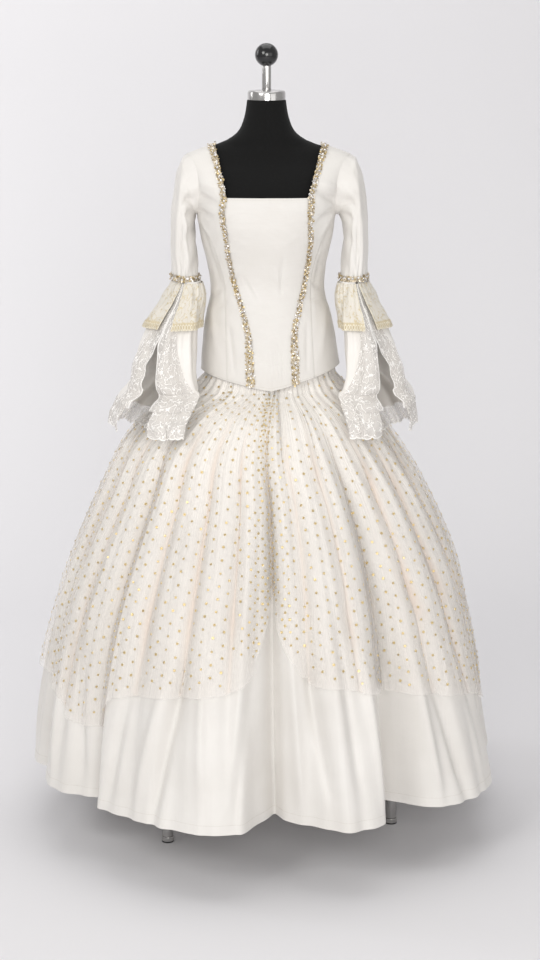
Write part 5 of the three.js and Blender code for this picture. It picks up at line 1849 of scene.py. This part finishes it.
    def build_cuff(self, arm: Arm) -> None:
        """Makes the brocade cuff with its looped border."""
        share, up = across_by(221), up_by(34)
        low = self.cuff_foot - 1.2 * np.abs(np.sin(np.pi * share * 55))
        z = mix(low, self.cuff_top, up)
        out = np.interp(z, [1141, 1178, 1211, 1236], [10, 9.5, 8, 2.5]) + self.brocade
        gather = smoothstep(1150, 1232, z)
        folds = 2.0 * gather * wander(share, 110 + arm.seed, 12, 34)
        folds = folds + 1.6 * np.sin(np.pi * up) * wander(share, 112 + arm.seed, 6, 9)
        turn = self.cut.turn("cuff", share, z)
        for crease in self.cuff_creases:
            for lap in (-360, 0):
                folds = folds + crease.lift(turn - lap, z)
        outer = arm.bring(self.cut.on_flounce(arm, turn, z, out + folds, 0.4))
        band = smoothstep(1157, 1155, z[:, ::-1] if arm.side < 0 else z)
        mesh = sheet_mesh("cloth_cuff_" + arm.suffix, outer, self.brocade, signals={"edge": band})
        piece = link(mesh.name, mesh, self.finishes.brocade, Slot.BROCADE, "cuff_" + arm.suffix)
        sewn = self.border(arm, outer)

    def border(self, arm: Arm, outer: Grid) -> list[Any]:
        """A cuff's border of cord loops, and the gold cord along its free edges.

        Args:
            arm: its arm.
            outer: the cuff's outer points.

        Returns:
            The loops and the cord.
        """
        facing = normals(outer)
        points, out, _ = spaced(outer[2], facing[2], self.loop_step)
        upward = np.tile([0.0, 0.0, 1.0], (len(points), 1))
        name = "cuff_loops_" + arm.suffix
        scatter = Scatter(name, loop_mesh(), self.finishes.cord, MM, spread=0.07, tilt=0.1, seed=8)
        loops = scatter.build(points + out * 0.2, out, upward, Slot.BROCADE)
        path, away = (np.concatenate([made[:0:-1, 0], made[0], made[1:, -1]]) for made in (outer, facing))
        mesh = tube_mesh("cuff_cord_" + arm.suffix, path + away * 0.3, away, self.cord, 6)
        return [loops, link(mesh.name, mesh, self.finishes.cord, Slot.BROCADE)]

    def build(self) -> None:
        """Makes everything on both arms."""
        for arm in self.arms:
            self.build_sleeve(arm)
            self.build_flounce(arm)
            self.build_lace_hem(arm)
            self.build_lace_edge(arm, "front")
            self.build_lace_edge(arm, "outer")
            self.build_cuff(arm)


# ---- trims
@dataclass
class Trims:
    """The sequin trims down the bodice's front and round the elbows."""

    finishes: Finishes
    bodice: BodiceCut
    sleeves: Sleeves
    widths: Table = Table(
        ("z", "width"), ((985, 15), (1062, 14), (1110, 11), (1223, 7), (1335, 6.5), (1400, 9), (1541, 13))
    )
    lay: float = 0.7
    ribbon: float = 0.8
    step: float = 3.3
    kept: float = 0.86
    stray: float = 0.95
    sequin: float = 4.6
    crystal: float = 4.4
    crystal_step: float = 10.5
    open_lanes: tuple[float, ...] = (0.06, 0.35, 0.64, 0.94)
    closed_lanes: tuple[float, ...] = (0.14, 0.5, 0.86)

    def front_grid(self, side: int) -> Grid:
        """A front trim's middle surface, drawn on +X, on the seam and up the strap's edge."""
        corner = self.bodice.corner_share
        across, z = across_by(9), up_by(96, float(self.bodice.hem.curve("front", 49)), 1420)
        width = self.widths.curve("width", z)
        aside = mix(across - 0.5, across, smoothstep(1350, 1420, z))
        x = self.bodice.seam(self.bodice.princess, z, side) + aside * width
        low = np.stack([x, TORSO.depth(x, z, Face.FRONT), z + 0 * x], -1)
        low[..., 2] += side * self.bodice.tilt * low[..., 0] * smoothstep(self.bodice.first_row, z[0], z)
        shares = np.linspace(corner, 1, 26)[1:]
        wide = up_by(25, 0.15, 0.22)
        return np.concatenate([low, self.bodice.strap(self.bodice.princess, across * wide, Face.FRONT, shares)])

    def sequins(self, name: str, lanes: Sequence[Grid], out: Sequence[Grid], seed: int) -> list[Any]:
        """Covers a ribbon in sequins of three colours, with crystals among them.

        Args:
            name: the trim's name.
            lanes: paths along the ribbon.
            out: the ways out along each.
            seed: fixes the scatter.

        Returns:
            The scattered pieces.
        """
        rng = np.random.default_rng(seed)
        pairs = enumerate(zip(lanes, out))
        found = [spaced(lane, facing, self.step, 0.5 * (k % 2) + 0.3) for k, (lane, facing) in pairs]
        points, facing, along = (np.concatenate(made) for made in zip(*found))
        kept = rng.random(len(points)) < self.kept
        points, facing, along = points[kept], facing[kept], along[kept]
        points = points + rng.normal(0, self.stray, points.shape)
        points = points + facing * rng.uniform(0.9, 2.0, (len(points), 1))
        drift = wander(np.arange(len(points)) / 140, seed, 6, 9)
        kind = np.digitize(rng.random(len(points)) + 0.26 * drift, (0.34, 0.74))
        disc = small_mesh("sequin", ((0.5, 0.0), (0.5, 0.05), (0.2, -0.03)), 7)
        made = []
        for k, finish in enumerate((self.finishes.gold, self.finishes.champagne, self.finishes.silver)):
            part = kind == k
            label, size = f"{finish.name}_{name}", self.sequin * MM
            scatter = Scatter(label, disc, finish, size, spread=0.2, tilt=0.6, seed=seed + k)
            made.append(scatter.build(points[part], facing[part], along[part], Slot.TRIM))
        middle = len(lanes) // 2
        spots, away, on = spaced(lanes[middle], out[middle], self.crystal_step, 0.6)
        spots = spots + rng.normal(0, 1.4, spots.shape) * np.array([1, 0.2, 1]) + away * 1.6
        stone = small_mesh("stone", ((0.3, 0.0), (0.5, 0.2), (0.32, 0.46)), 8)
        size = self.crystal * MM
        scatter = Scatter("crystals_" + name, stone, self.finishes.crystal, size, spread=0.16, tilt=0.2, seed=seed)
        return [*made, scatter.build(spots, away, on, Slot.TRIM)]

    def lanes(self, made: Grid, closed: bool) -> list[Grid]:
        """The rows of a trim's surface, or its ways out, that the sequins follow."""
        if not closed:
            return [made[:, round(share * (made.shape[1] - 1))] for share in self.open_lanes]
        found = []
        for share in self.closed_lanes:
            at = share * (len(made) - 1)
            row = mix(made[int(at)], made[min(int(at) + 1, len(made) - 1)], at % 1)
            found.append(np.concatenate([row, row[:1]]))
        return found

    def trim(self, name: str, node: str, grid: Grid, closed: bool, seed: int) -> None:
        """Makes one trim: its ribbon, and its sequins.

        Args:
            name: its name.
            node: the node that it stands for.
            grid: the surface that it lies on.
            closed: whether it runs round the sleeve.
            seed: fixes the sequins.
        """
        facing = normals(grid, closed)
        outer = grid + facing * (self.lay + self.ribbon)
        mesh = sheet_mesh("ribbon_" + name, outer, self.ribbon, closed=closed)
        piece = link(mesh.name, mesh, self.finishes.braid, Slot.TRIM, node)
        paths, out = (self.lanes(made, closed) for made in (outer, facing))
        sewn = self.sequins(name, paths, out, seed)

    def build(self) -> None:
        """Makes the four trims."""
        left, right = drifted(self.front_grid(1)), drifted(mirrored(self.front_grid(-1)))
        for side, made, seed in (("left", left, 11), ("right", right, 17)):
            self.trim("front_" + side, "front_trim_" + side, made, False, seed)
        for arm in self.sleeves.arms:
            made = arm.bring(self.sleeves.sleeve_grid(arm)[:5])
            name, on = "elbow_" + arm.suffix, "cloth_sleeve_" + arm.suffix
            self.trim(name, "elbow_trim_" + arm.suffix, made, True, 23 + arm.seed)


# ---- form and stand
@dataclass
class FormAndStand:
    """The covered dress form, its cap and ball, and the three-legged stand."""

    finishes: Finishes
    foot_circle: float = 298.0
    foot_angles: tuple[float, ...] = (72.3, -47.7, 192.3)
    tube: float = 12.0
    arm_height: float = 118.0
    bend: float = 58.0
    hub: tuple[float, float, float] = (32, 96, 141)
    pole: float = 16.0
    form_bottom: float = 930.0
    form_top: float = 1625.0
    seam: float = 0.4
    seam_depth: float = 0.9
    seam_width: float = 1.6
    ball: tuple[float, float, float] = (25, 1721, 1698.4)
    tip: tuple[float, float, float] = (13.5, 14, 3.6)

    def stand_for(self, name: str, mesh: Mesh, finish: Material, slot: Slot) -> None:
        """Links a piece that stands for one node."""
        link("fine_" + name, mesh, finish, slot, name)

    def form(self) -> None:
        """The form's torso and neck, under a stretched cover with a centre seam."""
        body = Body(FORM_SECTIONS)
        angle, z = around(120), up_by(90, self.form_bottom, self.form_top)
        grid = body.at(angle, z)
        for mark in (0, 180):
            off = (angle - mark + 180) % 360 - 180
            dent = self.seam_depth * np.exp(-((off / self.seam_width) ** 2)) * np.ones_like(z)
            grid = grid - normals(grid, True) * dent[..., None]
        self.stand_for("dress_form", ring_mesh("form", grid * MM, 40), self.finishes.cover, Slot.COVER)

    def leg(self, angle: float) -> Mesh:
        """One bent leg as a round tube."""
        turn = math.radians(angle - 90)
        far, high = self.foot_circle, self.arm_height
        start, bend, low = self.hub[0] + self.seam, far - self.bend, high - self.bend
        line = [(r, high) for r in np.linspace(start, bend, 8)]
        for t in np.linspace(0, 1, 17)[1:]:
            first, second, third = (1 - t) ** 2, 2 * t * (1 - t), t * t
            line.append((first * bend + second * far + third * far, first * high + second * high + third * low))
        line += [(far, z) for z in np.linspace(low, self.tip[1] + self.seam, 6)[1:]]
        path = np.array([(r * math.cos(turn), r * math.sin(turn), z) for r, z in line])
        side = np.tile([-math.sin(turn), math.cos(turn), 0.0], (len(path), 1))
        return tube_mesh("leg", path, side, self.tube, 28)

    def build(self) -> None:
        """Makes the form and the stand."""
        self.form()
        chrome = self.finishes.chrome
        radius, low, high = self.hub
        self.stand_for("stand_hub", lathe_mesh("hub", rounded(radius, low, high, 2)), chrome, Slot.CHROME)
        pole = rounded(self.pole, high + self.seam, self.form_bottom - self.seam, 0.6)
        self.stand_for("stand_pole", lathe_mesh("pole", pole), chrome, Slot.CHROME)
        cap = [(0, 1625.3), (40.2, 1625.3), (41, 1626.1), (41, 1640)]
        cap += [(40.3, 1642.6), (38.4, 1644.6), (35.6, 1645.6), (0, 1645.8)]
        self.stand_for("neck_cap", lathe_mesh("cap", cap, 72), chrome, Slot.CHROME)
        rod = rounded(10, 1646.2, 1698, 0.5)
        self.stand_for("neck_rod", lathe_mesh("rod", rod, 40), chrome, Slot.CHROME)
        radius, middle, foot = self.ball
        seat = math.acos((middle - foot) / radius)
        ball = [(0.0, foot)]
        for i in range(25):
            turn = mix(math.pi - seat, 0.02, i / 24)
            ball.append((radius * math.sin(turn), middle + radius * math.cos(turn)))
        ball.append((0.0, middle + radius))
        self.stand_for("ball_finial", lathe_mesh("ball", ball, 48), self.finishes.plastic, Slot.PLASTIC)
        for i, angle in enumerate(self.foot_angles, 1):
            self.stand_for(f"stand_leg_{i}", self.leg(angle), chrome, Slot.CHROME)
            turn = math.radians(angle - 90)
            at = (self.foot_circle * math.cos(turn), self.foot_circle * math.sin(turn))
            wide, high, step = self.tip
            tip = rounded(wide, 0, high, 1.2)
            mesh = lathe_mesh("tip", [*tip[:6], (wide, step), *tip[6:]], 32, at)
            mesh.materials.append(self.finishes.rubber)
            mesh.materials.append(chrome)
            for face in mesh.polygons:
                face.material_index = int(face.center.z > step * MM)
            self.stand_for(f"foot_tip_{i}", mesh, self.finishes.rubber, Slot.RUBBER)

    def waistband(self) -> None:
        """The gathered skirts' band, under the bodice."""
        ring = drifted(TORSO.at(around(120), up_by(6, SKIRT_TOP, SKIRT_TOP + 28), -4.6))
        mesh = sheet_mesh("waistband_cloth", ring, 1.4, closed=True)
        piece = link("waistband_cloth", mesh, self.finishes.satin, Slot.SATIN, "waistband")


# ---- studio
@dataclass
class Studio:
    """A pale seamless floor and wall, soft lights and the camera."""

    finishes: Finishes
    camera_at: tuple[float, float, float] = (0.0, -4.86, 1.909)
    down: float = 13.05
    focal: float = 2222.0
    centre: float = 266.5
    size: tuple[int, int] = (540, 960)

    def backdrop(self) -> None:
        """The seamless paper."""
        profile = [(-7.0, 0.0), (1.6, 0.0)]
        for i in range(1, 17):
            a = math.radians(90 * i / 16)
            profile.append((1.6 + 1.6 * math.sin(a), 1.6 - 1.6 * math.cos(a)))
        profile.append((3.2, 7.0))
        xs = (-7.0, 7.0)
        points = [(x, y, z) for y, z in profile for x in xs]
        faces = [(2 * k, 2 * k + 1, 2 * k + 3, 2 * k + 2) for k in range(len(profile) - 1)]
        mesh = bpy.data.meshes.new("backdrop")
        mesh.from_pydata(points, [], faces)
        mesh.shade_smooth()
        mesh.materials.append(self.finishes.backdrop)
        placed("backdrop", mesh)

    def lamp(self, name: str, at: tuple, to: tuple, size: float, power: float, colour: tuple = (1, 1, 1)) -> None:
        """One square soft light.

        Args:
            name: its name.
            at: where it stands, in metres.
            to: what it faces.
            size: its side in metres.
            power: its power in watts.
            colour: its colour.
        """
        light = bpy.data.lights.new(name, "AREA")
        light.shape = "SQUARE"
        light.size = size
        light.energy = power
        light.color = colour
        made = placed(name, light)
        made.location = at
        made.rotation_euler = (Vector(to) - Vector(at)).to_track_quat("-Z", "Y").to_euler()

    def build(self) -> None:
        """Makes the paper, the lights and the camera."""
        self.backdrop()
        self.lamp("key", (-2.4, -3.6, 3.3), (0, 0, 1.0), 1.8, 62, (1.0, 0.99, 0.97))
        self.lamp("front", (0.4, -5.4, 2.1), (0, 0, 0.8), 2.2, 114, (1.0, 0.985, 0.965))
        self.lamp("fill", (3.0, -3.4, 2.0), (0, 0, 0.8), 2.4, 18, (1.0, 0.99, 0.98))
        self.lamp("above", (0, 0.6, 4.4), (0, 0.2, 0), 3.2, 43)
        self.lamp("wash", (-2.6, 0.8, 2.4), (-1.2, 3.2, 1.4), 1.4, 26)
        world = bpy.data.worlds.new("studio")
        bpy.context.scene.world = world
        world.use_nodes = True
        back = world.node_tree.nodes["Background"]
        back.inputs["Color"].default_value = (0.96, 0.95, 0.94, 1)
        back.inputs["Strength"].default_value = 0.465
        data = bpy.data.cameras.new("camera")
        data.sensor_fit = "VERTICAL"
        data.sensor_height = 36.0
        data.lens = self.focal / self.size[1] * 36.0
        data.shift_x = (self.size[0] / 2 - self.centre) / self.size[1]
        data.clip_end = 100.0
        camera = placed("camera", data)
        camera.location = self.camera_at
        camera.rotation_euler = (math.radians(90 - self.down), 0, 0)
        bpy.context.scene.camera = camera
        bpy.context.scene.view_settings.view_transform = "Standard"


def main() -> None:
    """Builds every piece in order."""
    logging.basicConfig(level=logging.INFO, format="%(name)s %(message)s")
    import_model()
    finishes = Finishes()
    Studio(finishes).build()
    stand = FormAndStand(finishes)
    stand.build()
    stand.waistband()
    sewing = Sewing(finishes.thread)
    bodice = Bodice(finishes, sewing)
    bodice.build()
    skirts = Skirts(finishes, sewing)
    skirts.underskirt()
    skirts.overskirt()
    sleeves = Sleeves(finishes, SleeveCut(skirts.cut, bodice.cut))
    sleeves.build()
    Trims(finishes, bodice.cut, sleeves).build()


if __name__ == "__main__":
    main()
